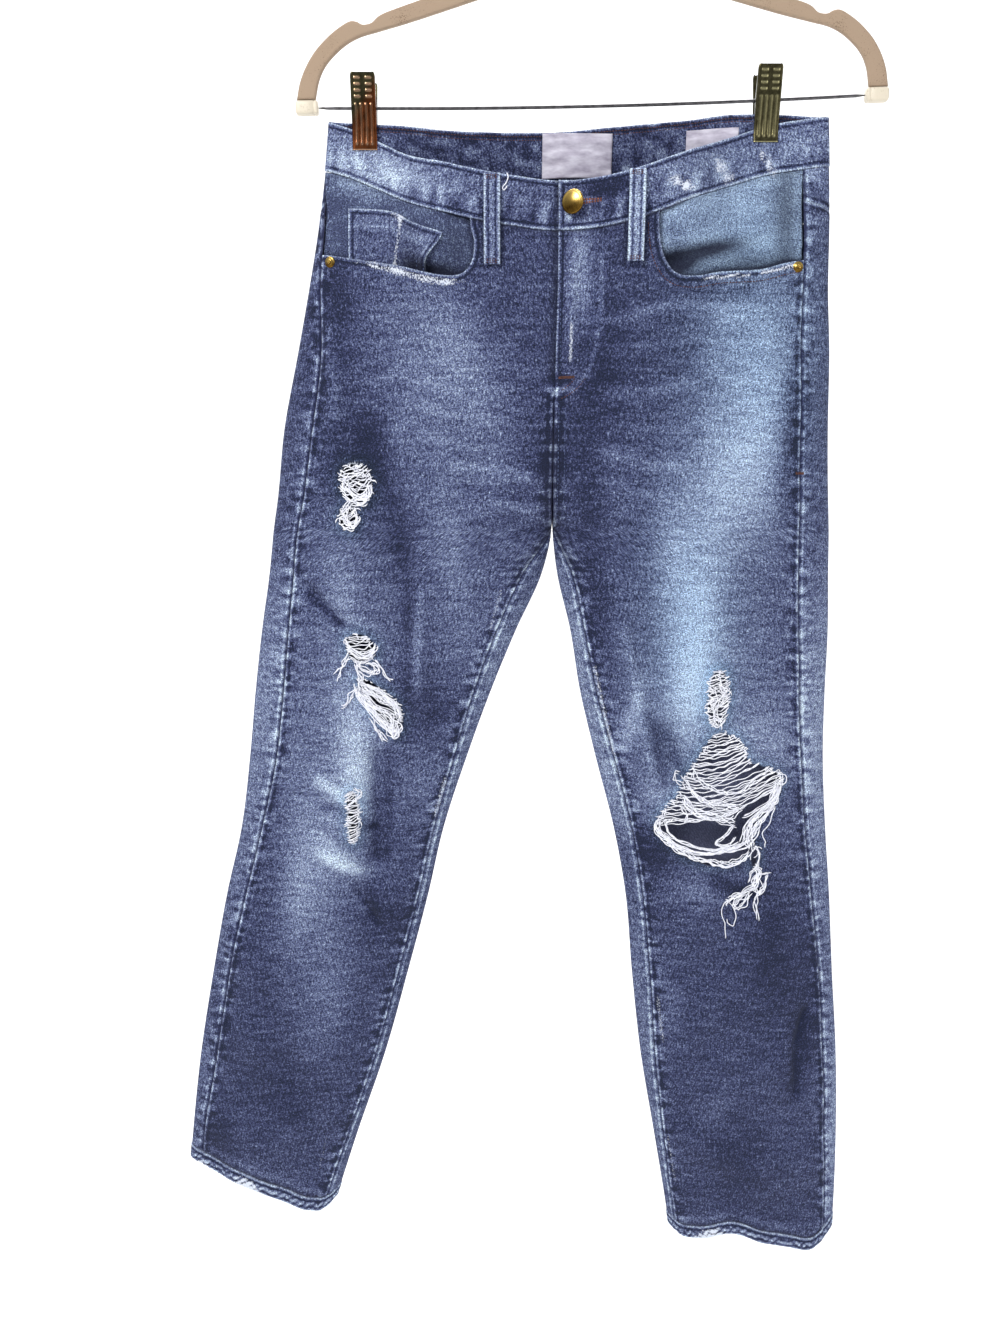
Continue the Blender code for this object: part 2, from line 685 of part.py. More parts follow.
# The belt loops: half, layer, x of the middle.
LOOP_WIDTH = 12.0
LOOP_HEIGHT = 64.0
LOOP_BOW = 2.4
BELT_LOOPS = [("right", "front", -72.5), ("left", "front", 35.5), ("right", "back", -124.0),
              ("left", "back", 86.0), ("left", "back", -14.0)]
for number, (side, layer, x) in enumerate(BELT_LOOPS, start=1):
    top = float(waist_height(layer, x)) - 1.5
    grid = patch(side, layer, x - LOOP_WIDTH / 2, x + LOOP_WIDTH / 2, level(top - LOOP_HEIGHT), level(top),
                 BAND_WALL / 2 + LAY_GAP + LOOP_WALL / 2, 2, 8)
    shares = np.linspace(0, 1, 9)
    bow = LOOP_BOW * np.sin(math.pi * shares)[:, None]
    standing = band_lift(x - LOOP_WIDTH / 2) if (side, layer) == ("left", "front") else 0.0
    outward = -1 if layer == "front" else 1
    grid[:, :, 1] += outward * (bow + standing)
    cloth("belt_loop_%d" % number, grid, LOOP_WALL, DENIM_BAND)

# The two blank labels inside the back of the waistband: name, half, x range, top and bottom heights.
LABELS = [("neck_label", -34.0, 19.5, -242.5, -273.5), ("size_label", 76.0, 114.0, -240.5, -268.0)]
label_in = BAND_WALL / 2 + LAY_GAP + LABEL_WALL / 2


def band_back(x, height):
    """A point of the waistband's back, read between the points of its own grid."""
    back = band_grid[:, BAND_COLUMNS:3 * BAND_COLUMNS + 1]
    column = np.interp(-x, -back[1, :, 0], np.arange(back.shape[1]))
    left = int(min(column, back.shape[1] - 2))
    line = back[:, left] + (back[:, left + 1] - back[:, left]) * (column - left)
    return [x, float(np.interp(height, line[:, 2], line[:, 1])), height]


for name, x_low, x_high, top, bottom in LABELS:
    band_x = band_grid[1, BAND_COLUMNS:3 * BAND_COLUMNS + 1, 0][::-1]
    inside = [x for x in band_x if x_low + 2 < x < x_high - 2]
    across = [x_low] + inside + [x_high]
    grid = np.array([[band_back(x, z) for x in across] for z in np.linspace(bottom, top, 4)])
    grid[:, :, 1] -= label_in
    cloth(name, grid, LABEL_WALL, "e9e6ea", roughness=0.45)


# ---------------------------------------------------------------- button and rivets

def turned(name, profile, centre, colour, roughness):
    """A turned metal piece facing the front. The profile is (radius, height), down its outer side."""
    mesh = bpy.data.meshes.new(name)
    mesh.from_pydata([(radius * MM, 0, height * MM) for radius, height in profile],
                     [(i, i + 1) for i in range(len(profile) - 1)], [])
    piece = add_part(name, mesh, colour, roughness, metallic=1.0)
    spin = piece.modifiers.new("turn", "SCREW")
    spin.steps = 20
    spin.render_steps = 20
    spin.use_merge_vertices = True
    spin.merge_threshold = 0.00001
    piece.rotation_euler = (math.radians(90), 0, 0)
    piece.location = tuple(value * MM for value in centre)
    return piece


def front_face(side, x, height, out):
    """The y of the front layer, moved out."""
    return float(skin(side, turn_at_x(side, "front", x, height), height, out)[1])


BUTTON_PROFILE = [(0, 5.0), (3.5, 4.8), (6.5, 4.1), (8.3, 2.9), (8.8, 1.9), (8.4, 1.2), (4.0, 0.9),
                  (3.0, 0.0), (0, 0)]
button_x, button_z = -10.3, -296.6
button_y = front_face("left", button_x, button_z, BAND_WALL / 2 + LAY_GAP + float(band_lift(button_x)))
turned("waist_button", BUTTON_PROFILE, (button_x, button_y, button_z), "c29a45", 0.22)

RIVET_PROFILE = [(0, 1.0), (0.9, 1.0), (1.3, 1.7), (1.9, 1.6), (2.6, 0.9), (3.9, 0.6), (4.1, 0.3),
                 (4.0, 0.0), (0, 0)]
for side, x, z in (("right", -196.5, -338.5), ("left", 160.7, -342.5)):
    y = front_face(side, x, z, PANEL_WALL / 2 + LAY_GAP)
    rivet = turned(side + "_rivet", RIVET_PROFILE, (x, y, z), "b08a45", 0.3)
    step = 1.5
    slope = (front_face(side, x + step, z, 0) - front_face(side, x - step, z, 0)) / (2 * step)
    rivet.rotation_euler = (math.radians(90), 0, math.atan(slope))
    push = 4.1 * abs(math.sin(math.atan(slope)))
    rivet.location.y -= push * 0.35 * MM


# ---------------------------------------------------------------- hanger

def on_bar(along, up):
    """A point of the hanger from its place along and above the bar. The arms lean a little to one side."""
    along = along + ARM_LEAN * up
    x = BAR_CENTRE[0] + along * math.cos(BAR_TILT) - up * math.sin(BAR_TILT)
    z = BAR_CENTRE[1] + along * math.sin(BAR_TILT) + up * math.cos(BAR_TILT)
    return x, z


# Half of the hanger's outline, from its end at the bar, up the outer edge to the neck and back down the
# inner edge: along the bar from its middle, and above it.
ARM_OUTLINE = [
    (222, 5.6), (219.5, 17), (215, 27.5), (208, 38), (199.5, 46.5), (191, 53), (182, 57.8), (176.5, 57.6),
    (172, 55.6), (165.5, 56.6), (159, 61.5), (145, 66.3), (110, 76.5), (60, 91), (30, 100), (12, 108),
    (8, 118), (0, 118),
]
ARM_INNER = [
    (0, 94), (20, 89.5), (50, 81), (86, 70.8), (134, 57.5), (160, 51), (174.5, 47.3), (186, 41.5),
    (198, 31), (204.5, 20), (208, 5.6),
]


def flat_outline(name, outline, thickness, colour, roughness, bevel):
    """A flat piece cut to an outline in the hanger's plane, its edges rounded."""
    curve = bpy.data.curves.new(name, "CURVE")
    curve.dimensions = "2D"
    curve.fill_mode = "BOTH"
    curve.extrude = thickness / 2 * MM
    line = curve.splines.new("POLY")
    line.points.add(len(outline) - 1)
    for point, (x, z) in zip(line.points, outline):
        point.co = (x * MM, z * MM, 0, 1)
    line.use_cyclic_u = True
    curve.materials.append(material(name + "_finish", colour, roughness))
    piece = bpy.data.objects.new(name, curve)
    piece.rotation_euler = (math.radians(90), 0, 0)
    parts.objects.link(piece)
    weld = piece.modifiers.new("weld", "WELD")
    weld.merge_threshold = 0.00001
    edge = piece.modifiers.new("round", "BEVEL")
    edge.width = bevel * MM
    edge.segments = 1
    edge.limit_method = "ANGLE"
    edge.angle_limit = math.radians(60)
    return piece


half = ARM_OUTLINE[:-1]
inner_half = ARM_INNER[1:]
whole = ([(along, up) for along, up in half] + [(-along, up) for along, up in reversed(half)]
         + [(-along, up) for along, up in reversed(inner_half)] + [ARM_INNER[0]]
         + [(along, up) for along, up in inner_half])
flat_outline("hanger_arms", [on_bar(*point) for point in whole], ARM_THICKNESS, "cdb9a0", 0.95, 1.4)


def wire(name, points, radius, colour, roughness):
    """A round wire along points, its ends capped."""
    curve = bpy.data.curves.new(name, "CURVE")
    curve.dimensions = "3D"
    curve.bevel_depth = radius * MM
    curve.bevel_resolution = 2
    curve.use_fill_caps = True
    line = curve.splines.new("POLY")
    line.points.add(len(points) - 1)
    for point, (x, y, z) in zip(line.points, points):
        point.co = (x * MM, y * MM, z * MM, 1)
    curve.materials.append(material(name + "_finish", colour, roughness, 1.0))
    piece = bpy.data.objects.new(name, curve)
    parts.objects.link(piece)
    return piece


def bar_point(along):
    """A point of the loaded bar's middle line."""
    x, z = on_bar(along, -BAR_SAG * (1 - (along / BAR_HALF) ** 2))
    return x, 0, z


bar_points = [bar_point(along) for along in np.linspace(-BAR_HALF, BAR_HALF, 9)]
wire("hanger_bar", bar_points, BAR_RADIUS, "8d8d90", 0.3)

# The hook: a stem from the neck, a short sweep out to the bend, and the bend over the top to its tip.
hook_centre = -(HOOK_RADIUS - HOOK_WIRE)
neck_x, neck_z = on_bar(0, 118.3)
hook_points = [(neck_x, 0, neck_z), (neck_x * 0.9, 0, -85), (neck_x * 0.6, 0, -62), (1.5, 0, -50),
               (6, 0, -42), (12, 0, -35)]
for degrees in range(-35, 196, 15):
    angle = math.radians(degrees)
    hook_points.append((HOOK_RADIUS * math.cos(angle), 0, hook_centre + HOOK_RADIUS * math.sin(angle)))
wire("hanger_hook", hook_points, HOOK_WIRE, "b9b9bc", 0.2)

for side, sign in (("right", -1), ("left", 1)):
    bpy.ops.mesh.primitive_cube_add(size=1)
    cap = bpy.context.active_object
    cap.name = side + "_bar_cap"
    for holder in list(cap.users_collection):
        holder.objects.unlink(cap)
    parts.objects.link(cap)
    for vertex in cap.data.vertices:
        vertex.co = [vertex.co[i] * CAP_SIZE[i] * MM for i in range(3)]
    x, z = on_bar(sign * (BAR_HALF + 0.4 + CAP_SIZE[0] / 2), 0)
    cap.location = (x * MM, 0, z * MM)
    cap.rotation_euler = (0, -BAR_TILT, 0)
    cap.data.materials.append(material(cap.name + "_finish", "e6dcc8", 0.45))
    edge = cap.modifiers.new("round", "BEVEL")
    edge.width = 1.6 * MM
    edge.segments = 2

# The clips. A jaw's sections: above the bar, distance of the plate from the middle, depth of its side ears.
JAW_SECTIONS = {
    "front": [(22.0, 9.2, 1.0), (7.0, 7.2, 3.2), (0.0, 6.2, 4.4), (-7.0, 5.0, 2.6), (-14.0, 3.8, 0.9),
              (-20.0, 3.35, 0.6), (-33.5, 3.35, 0.6)],
    "back": [(20.0, 9.2, 1.0), (7.0, 7.2, 3.2), (0.0, 5.9, 4.1), (-5.0, 4.6, 2.2), (-9.5, 3.45, 0.6),
             (-20.0, 3.35, 0.6), (-32.5, 3.35, 0.6)],
}
JAW_WALL = 0.8
for side, centre in CLIP_X.items():
    bar_height = bar_point(centre - BAR_CENTRE[0])[2]
    for layer, sign in (("front", -1), ("back", 1)):
        rows = []
        for up, away, ear in JAW_SECTIONS[layer]:
            y = sign * away
            z = bar_height + up
            inward = sign * (away - ear)
            low_x, high_x = centre - CLIP_HALF_WIDTH, centre + CLIP_HALF_WIDTH
            rows.append([(low_x, inward, z), (low_x, y, z), (centre, y, z),
                         (high_x, y, z), (high_x, inward, z)])
        jaw = cloth("%s_clip_%s_jaw" % (side, layer), np.array(rows), JAW_WALL, "8a6f35", roughness=0.25)
        jaw.data.materials[0].node_tree.nodes["Principled BSDF"].inputs["Metallic"].default_value = 1.0
        jaw.modifiers["wall"].use_even_offset = True
    spring = turned("%s_clip_spring" % side, [(1.5, 6.0), (3.0, 6.0), (3.0, -6.0), (1.5, -6.0), (1.5, 6.0)],
                    (centre, 0, bar_height), "8d8d90", 0.3)
    spring.rotation_euler = (0, math.radians(90) - BAR_TILT, 0)
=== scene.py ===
import math

import bpy
import numpy as np
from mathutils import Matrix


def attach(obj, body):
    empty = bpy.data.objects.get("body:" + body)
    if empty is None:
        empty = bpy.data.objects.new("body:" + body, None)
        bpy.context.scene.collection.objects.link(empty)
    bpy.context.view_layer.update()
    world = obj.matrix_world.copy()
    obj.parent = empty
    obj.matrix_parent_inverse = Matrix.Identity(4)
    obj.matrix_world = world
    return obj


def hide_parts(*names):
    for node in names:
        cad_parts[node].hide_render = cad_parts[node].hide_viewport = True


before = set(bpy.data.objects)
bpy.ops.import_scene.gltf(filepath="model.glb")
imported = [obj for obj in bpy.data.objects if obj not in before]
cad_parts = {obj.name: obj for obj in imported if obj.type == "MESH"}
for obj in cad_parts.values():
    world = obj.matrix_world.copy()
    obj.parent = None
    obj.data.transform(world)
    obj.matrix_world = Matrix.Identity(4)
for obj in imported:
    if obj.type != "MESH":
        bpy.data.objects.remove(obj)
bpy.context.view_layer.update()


# ---------------------------------------------------------------- how the jeans hang
# The jeans hang flat from two clips at the waistband, so the front and the back are two soft layers that meet
# in folds down the sides. This section is that surface. It works in millimetres, with the origin at the
# hanger's hook, +X to the wearer's left and the front towards -Y.
PANEL_WALL = 1.2          # one layer of denim
BAND_WALL = 2.4           # two layers, in the waistband and hems
SEAM_GAP = 0.6            # between the halves at the crotch
CROTCH_HEIGHT = -541.0
RISE_CURVE = 60.0
CLIP_X = {"right": -168.7, "left": 134.3}
CLIP_BITE_TOP = -262.0
CLIP_EASE_LOW = -332.0
CLIP_REACH = (20, 44)     # how far beside a clip the cloth is held flat, and how far it then eases off
OUTWARDS = {"right": -1, "left": 1}     # the way along x from the body's middle to each side seam

# height, outer fold, inner fold or centre line, side seam, inseam, depth of the front and of the back layer
SECTIONS = {
    "right": [
        (-236, -195, -22, -195, -22, 16, 10), (-270, -199, -23, -199, -23, 20, 13),
        (-313, -206, -23, -201, -23, 22, 18), (-357, -215, -23, -205, -23, 24, 25),
        (-402, -225, -24, -205, -24, 26, 29), (-463, -239, -25, -214, -25, 27, 30),
        (-519, -247, -25, -224, -25, 26, 28), (-541, -251, -24, -229, -24, 25, 26),
        (-576, -256, -31, -234, -46, 23, 24), (-626, -265, -53, -241, -69, 21, 22),
        (-678, -273, -74, -247, -88, 19, 20), (-731, -280, -93, -255, -104, 18, 19),
        (-803, -292, -116, -273, -124, 17, 19), (-860, -307, -129, -289, -137, 16, 18),
        (-937, -324, -149, -308, -157, 15, 17), (-1017, -340, -171, -324, -179, 14, 15),
        (-1101, -353, -199, -341, -207, 13, 13), (-1187, -364, -226, -352, -236, 12, 12),
    ],
    "left": [
        (-236, 181, -22, 163, -22, 16, 10), (-270, 184, -23, 164, -23, 20, 13),
        (-313, 187, -23, 165, -23, 22, 18), (-357, 189, -23, 166, -23, 24, 25),
        (-402, 193, -24, 167, -24, 26, 29), (-463, 196, -25, 170, -25, 27, 30),
        (-519, 200, -25, 173, -25, 26, 28), (-541, 202, -24, 174, -24, 25, 26),
        (-576, 204, -20, 176, -9, 23, 24), (-626, 207, -8, 179, 3, 21, 22),
        (-678, 208, 1, 183, 14, 19, 20), (-731, 210, 14, 188, 29, 18, 19),
        (-803, 217, 33, 197, 48, 17, 19), (-860, 224, 44, 206, 58, 16, 18),
        (-937, 232, 52, 218, 67, 15, 17), (-1017, 241, 62, 227, 74, 14, 15),
        (-1101, 247, 77, 234, 85, 13, 13), (-1187, 250, 92, 240, 98, 12, 12),
        (-1220, 250, 97, 240, 104, 12, 12),
    ],
}
COLUMNS = ("height", "outer", "inner", "side_seam", "inseam", "front_depth", "back_depth")

# height, and where the section is deepest as a share of the way from its inner to its outer fold
DEEPEST = [(-1220, 0.50), (-600, 0.50), (-541, 0.45), (-463, 0.38), (-236, 0.36)]

# the waistband's upper edge: x, height at the front, height at the back
WAIST_EDGE = [
    (-200, -236, -236), (-182, -241, -237), (-160, -250, -238), (-130, -263, -239), (-100, -271, -240),
    (-60, -279, -241), (-20, -283, -241), (25, -277, -237), (73, -261, -233), (108, -248, -231),
    (134, -240, -231), (184, -233, -233),
]

# the hem's lower edge: share of the way across the leg, then heights at the front and back, right leg first
HEM_EDGE = [
    (0.00, -1169, -1169, -1200, -1200), (0.05, -1178, -1167, -1209, -1199),
    (0.16, -1179, -1163, -1211, -1197), (0.38, -1165, -1153, -1202, -1196),
    (0.55, -1155, -1147, -1212, -1196), (0.72, -1146, -1140, -1218, -1197),
    (0.88, -1134, -1133, -1222, -1199), (1.00, -1127, -1127, -1202, -1202),
]

# the folds of each layer: upper end (x, height), lower end (x, height), half width and rise
FOLDS = {
    "front": [
        (-199, -372, -195, -462, 7, 3.5), (-188, -425, -180, -490, 9, -3.5),
        (-170, -455, -148, -552, 15, -4.5), (-148, -552, -147, -640, 13, -4.5),
        (-131, -585, -136, -700, 10, 3.0), (-228, -585, -190, -625, 9, -4.0),
        (-205, -690, -210, -850, 24, 5.0), (-168, -712, -174, -850, 11, -5.5),
        (-216, -816, -186, -836, 7, 3.0), (-196, -850, -172, -892, 9, -3.0), (28, -590, 66, -768, 10, 3.5),
        (66, -700, 92, -760, 12, -4.5), (95, -540, 102, -670, 30, 3.5), (205, -965, 203, -1062, 8, -2.4),
        (150, -850, 120, -930, 14, -3.0), (-60, -470, -110, -530, 16, -3.0), (10, -480, 60, -540, 16, -3.0),
        (-183, -463, -186, -494, 3.5, 2.2), (-222, -588, -194, -622, 4, -2.6),
        (-132, -587, -138, -690, 4, 1.6), (-220, -749, -196, -768, 6, 3.4),
        (-214, -773, -196, -779, 5, -2.8), (-219, -817, -190, -834, 6, 2.4),
        (-199, -810, -182, -829, 5, -2.0), (-193, -852, -175, -884, 3.5, -3.4),
        (-200, -848, -184, -872, 4, 2.2), (-186, -794, -173, -797, 2.5, -1.6),
        (-171, -712, -175, -842, 4.5, -3.6), (30, -600, 67, -764, 4, 2.0), (70, -704, 90, -752, 5, -3.2),
        (209, -966, 200, -1007, 3, -2.6), (200, -1007, 205, -1060, 3, -2.6), (74, -362, 130, -362, 6, -2.2),
        (80, -374, 140, -377, 8, 1.6), (-110, -489, -35, -503, 5, 1.1), (-106, -505, -42, -513, 5, -1.1),
        (-75, -522, -34, -527, 5, 1.0), (0, -389, 86, -366, 7, 1.0), (4, -441, 90, -430, 7, 0.9),
        (5, -479, 84, -495, 7, 1.0), (-12, -330, -13, -410, 4, 1.3), (-5, -335, -6, -418, 4, -1.3),
        (90, -1090, 150, -1130, 14, 2.4), (140, -1070, 156, -1180, 12, -2.6),
        (-262, -1010, -232, -1110, 14, -2.6), (-300, -900, -290, -1010, 16, 2.2),
        (118, -925, 108, -1010, 14, 2.0),
    ],
    "back": [
        (-60, -500, -165, -560, 13, -5.0), (-55, -560, -170, -610, 12, -4.0),
        (10, -500, 110, -560, 13, -5.0), (25, -565, 125, -600, 12, -4.0),
        (-130, -740, -235, -765, 11, -4.5), (-150, -800, -250, -815, 12, 4.0),
        (-165, -860, -270, -850, 11, -4.0), (60, -745, 160, -770, 11, -4.5), (75, -810, 180, -800, 12, 4.0),
        (80, -860, 190, -872, 11, -4.0), (-250, -960, -300, -1060, 14, -3.5),
        (130, -960, 170, -1070, 14, -3.5), (-60, -400, -150, -385, 10, -1.8),
        (20, -398, 110, -388, 10, -1.8), (-90, -535, -190, -590, 6, 2.2), (40, -535, 130, -585, 6, 2.2),
        (-140, -770, -245, -790, 5, 2.0), (65, -778, 165, -785, 5, 2.0), (-160, -835, -260, -832, 5, -2.0),
        (82, -838, 185, -836, 5, -2.0),
    ],
}


def smooth_curve(rows, place, column=1):
    """Read a smooth curve through one column of a table, at any places of its first column."""
    rows = sorted(rows)
    knots = np.array([row[0] for row in rows], dtype=float)
    values = np.array([row[column] for row in rows], dtype=float)
    slopes = np.gradient(values, knots)
    place = np.clip(place, knots[0], knots[-1])
    start = np.clip(np.searchsorted(knots, place, side="right") - 1, 0, len(knots) - 2)
    span = knots[start + 1] - knots[start]
    t = (place - knots[start]) / span
    rise = values[start + 1] - values[start]
    low = slopes[start] * span
    high = slopes[start + 1] * span
    return values[start] + t * (low + t * (3 * rise - 2 * low - high + t * (low + high - 2 * rise)))


def ease(value):
    """Go smoothly from 0 to 1 as value does."""
    value = np.clip(value, 0.0, 1.0)
    return value * value * (3 - 2 * value)


def bump(distance, half_width):
    """A soft bump: 1 at no distance, falling off over the half width."""
    return np.exp(-(distance / half_width) ** 2)


def unevenness(seed, wave, count=14):
    """A smooth random field over x and height, with bumps of about one wavelength in millimetres."""
    draw = np.random.default_rng(seed)
    angles = draw.uniform(0, math.tau, count)
    phases = draw.uniform(0, math.tau, count)
    rates = draw.uniform(0.7, 1.5, count) * math.tau / wave

    def field(x, height):
        total = 0.0
        for angle, phase, rate in zip(angles, phases, rates):
            total = total + np.sin((x * math.cos(angle) + height * math.sin(angle)) * rate + phase)
        return total / math.sqrt(count / 2)
    return field


slack = unevenness(3, 95)
ripple = unevenness(5, 34)
pucker = unevenness(8, 11)


def section(side, column, height):
    """Read one column of a half's section table at any height. The halves stay a seam's gap apart."""
    value = smooth_curve(SECTIONS[side], height, COLUMNS.index(column))
    if column not in ("inner", "inseam"):
        return value
    apart = SEAM_GAP / 2 + PANEL_WALL / 2 * ease((CROTCH_HEIGHT + 45 - height) / 40)
    return value + OUTWARDS[side] * apart


def spread(side, height):
    """x of a half's outer fold, of its deepest place, and of its inner fold or centre line."""
    outer = section(side, "outer", height)
    inner = section(side, "inner", height)
    return outer, inner + smooth_curve(DEEPEST, height) * (outer - inner), inner


def openness(height):
    """How far the front and back stand apart at the centre line: shut at the crotch, open above it."""
    up = np.clip((height - CROTCH_HEIGHT) / RISE_CURVE, 0.0, 1.0)
    return np.sqrt(1 - (1 - up) ** 2)


def clip_hold(x, height):
    """How firmly the clips press the two layers flat, from 0 to 1."""
    hold = np.zeros_like(x * height)
    for centre in CLIP_X.values():
        hold = np.maximum(hold, 1 - ease((np.abs(x - centre) - CLIP_REACH[0]) / CLIP_REACH[1]))
    return hold * ease((height - CLIP_EASE_LOW) / (CLIP_BITE_TOP - CLIP_EASE_LOW))


def lines(rows, x, height):
    """Sum of soft strokes, each from one end to the other with its half width and strength."""
    total = np.zeros_like(x * height)
    for x0, z0, x1, z1, half_width, rise in rows:
        length = math.hypot(x1 - x0, z1 - z0)
        along = ((x - x0) * (x1 - x0) + (height - z0) * (z1 - z0)) / length ** 2
        across = ((x - x0) * (z1 - z0) - (height - z0) * (x1 - x0)) / length
        past_end = np.maximum(0, np.abs(along - 0.5) - 0.35) * length / (half_width * 1.6)
        total = total + rise * np.exp(-(across / half_width) ** 2 - past_end ** 2)
    return total


def seam_distances(side, x, height):
    """Distance in x from the side seam and from the inseam, positive on the front panel's side."""
    from_side = (section(side, "side_seam", height) - x) * OUTWARDS[side]
    from_inseam = (x - section(side, "inseam", height)) * OUTWARDS[side]
    return from_side, from_inseam


def seam_relief(side, layer, x, height):
    """The ridges and puckers of the seams' allowances, and the unevenness of the whole cloth."""
    relief = 0.7 * slack(x, height) + 0.2 * ripple(x, height * 0.8)
    if layer == "front":
        from_side, from_inseam = seam_distances(side, x, height)
        uneven = pucker(x * 0.4, height)
        relief = relief + 0.6 * bump(from_side - 2.2, 1.9) - 1.0 * bump(from_side, 0.8)
        relief = relief + 0.30 * uneven * bump(from_side, 9)
        below = ease((CROTCH_HEIGHT + 12 - height) / 16)
        relief = relief + below * (0.7 * bump(from_inseam + 3.6, 2.6) - 1.0 * bump(from_inseam, 0.8)
                                   + 0.30 * uneven * bump(from_inseam, 8))
        centre = 1 - below
        from_centre = np.abs(x + 24.5)
        relief = relief + centre * (0.35 * uneven * bump(from_centre, 8)
                                    + 0.5 * bump(from_centre - 3.5, 2.4) * (height < -425))
    return relief


def in_front(turn):
    """Whether a turn is on the front layer."""
    return (turn <= math.pi / 2) | (turn > 1.5 * math.pi + 1e-9)


def skin(side, turn, height, out=0.0):
    """Place of the cloth's middle surface in one half of the garment.

    turn goes round the section: -90 degrees is the inner end of the front layer, 90 the outer fold and 270
    the inner end of the back layer. On a leg it runs on past 270 round the inner fold. out is how far the
    cloth is moved outwards.
    """
    turn, height = np.broadcast_arrays(np.asarray(turn, float), np.asarray(height, float))
    outer, middle, inner = spread(side, height)
    sine = np.sin(turn)
    x = middle + np.where(sine > 0, outer - middle, middle - inner) * sine
    front = in_front(turn)
    depth = np.where(front, section(side, "front_depth", height), section(side, "back_depth", height))
    gap = np.where(sine < 0, openness(height), 0.0)
    roundness = np.sqrt(gap ** 2 + (1 - gap ** 2) * np.cos(turn) ** 2)
    relief = np.where(front, *[lines(FOLDS[layer], x, height) + seam_relief(side, layer, x, height)
                               for layer in ("front", "back")])
    lift = depth * roundness + relief * ease(roundness / 0.6) + out
    flat = (BAND_WALL / 2 + 0.25) * np.clip(roundness * 4, 0, 1) + out
    lift = lift + (flat - lift) * clip_hold(x, height)
    return x, np.where(front, -lift, lift), height


def turn_at_x(side, layer, x, height):
    """The turn at which a half's section passes a given x."""
    outer, middle, inner = spread(side, height)
    reach = np.where((x - middle) * (outer - middle) > 0, outer - middle, middle - inner)
    bend = np.arcsin(np.clip((x - middle) / reach, -1, 1))
    return bend if layer == "front" else math.pi - bend


def seam_turn(side, column, height):
    """The turn of a seam that shows on the front layer."""
    return turn_at_x(side, "front", section(side, column, height), height)


def inner_turn(side, height):
    """The turn where the front panel ends inwards: the centre line, or the inseam below the crotch."""
    return np.where(height >= CROTCH_HEIGHT, -math.pi / 2, seam_turn(side, "inseam", height))


def turn_step(side, turn, height, distance):
    """How much turn covers a distance along the cloth."""
    reach = np.abs(section(side, "outer", height) - section(side, "inner", height)) / 2
    depth = section(side, "front_depth", height)
    return distance / np.sqrt((reach * np.cos(turn)) ** 2 + (depth * np.sin(turn)) ** 2)


def waist_height(layer, x):
    """Height of the waistband's upper edge."""
    return smooth_curve(WAIST_EDGE, x, 1 if layer == "front" else 2)


def hem_height(side, turn, height):
    """Height of the hem's lower edge round the leg."""
    x = skin(side, turn, height)[0]
    inner = section(side, "inner", height)
    share = (x - inner) / (section(side, "outer", height) - inner)
    first = 1 if side == "right" else 3
    front, back = (smooth_curve(HEM_EDGE, share, column) for column in (first, first + 1))
    return np.where(in_front(turn), front, back)


def edge_by_turn(edge, turn_at, guess):
    """Solve from a guess for the height of an edge that depends on x, at a turn that varies with height."""
    height = np.full_like(turn_at(np.float64(guess)), guess)
    for _ in range(6):
        height = edge(turn_at(height), height)
    return height


def stack(x, y, z):
    """Join three arrays of places into one grid of points."""
    return np.stack(np.broadcast_arrays(x, y, z), axis=-1).astype(float)


# ---------------------------------------------------------------- the denim and its wash
# Right-hand twill in cotton with a little elastane: indigo warp on the face and a white weft that shows
# inside and where the face is worn through. Stone-washing and sanding by hand have paled the thighs and
# knees, whitened the edges and brought out the shapes of the seam allowances down the seams.
def linear(code, alpha=1.0):
    """Linear colour from an sRGB hex value."""
    channels = [int(code[i:i + 2], 16) / 255 for i in (0, 2, 4)]
    return (*[c / 12.92 if c <= 0.04045 else ((c + 0.055) / 1.055) ** 2.4 for c in channels], alpha)


def plug(tree, node, inputs):
    """Set inputs of a node: a socket is linked to it, and anything else becomes the input's own value."""
    for key, value in inputs.items():
        if isinstance(value, bpy.types.NodeSocket):
            tree.links.new(value, node.inputs[key])
        else:
            node.inputs[key].default_value = value


def add(tree, kind, inputs=None, stops=(), **settings):
    """Add a shader node with its settings, ramp stops, input values and links."""
    node = tree.nodes.new("ShaderNode" + kind)
    for key, value in settings.items():
        setattr(node, key, value)
    plug(tree, node, inputs or {})
    if stops:
        elements = node.color_ramp.elements
        while len(elements) < len(stops):
            elements.new(0.5)
        for element, (place, code) in zip(elements, stops):
            element.position = place
            element.color = linear(code)
    return node


def begin_material(name):
    """A new material, its node tree and its shader."""
    material = bpy.data.materials.new(name)
    material.use_nodes = True
    return material, material.node_tree, material.node_tree.nodes["Principled BSDF"]


MM = 0.001
BLEACHED_BLUE = "81a6cb"
# the colour of the painted shade in the seams' grooves
SEAM_GROOVE_SHADE = "1d2140"
DEEP_SHADE = "15182b"
WORN_WEFT = ("aebbd2", "f1f2f6")
WAVE_PERIOD = 0.314       # spacing of a wave texture's bands at a scale of 1
INNER_WARP = "4f4f6c"
TONE_STOPS = (0.0, 0.20, 0.45, 0.72, 1.0)     # how pale the wash is at each of a denim's five tones
# pale and dark lines beside the side seam (X), the inseam (Y) and worn edges (Z): distance, width and rise;
# the dark ones, with a rise below 0, are painted shade in the grooves beside the worn ridges and edges
SEAM_LINES = (
    ("X", 1.7, 1.8, 0.36), ("X", -3.2, 1.6, 0.20), ("X", 4.6, 2.0, -0.16), ("Y", 1.7, 1.6, 0.36),
    ("Y", -3.4, 1.6, 0.30), ("Y", 4.4, 1.8, -0.20), ("Z", 0.4, 1.5, 0.36), ("Z", 3.2, 1.8, -0.40),
)


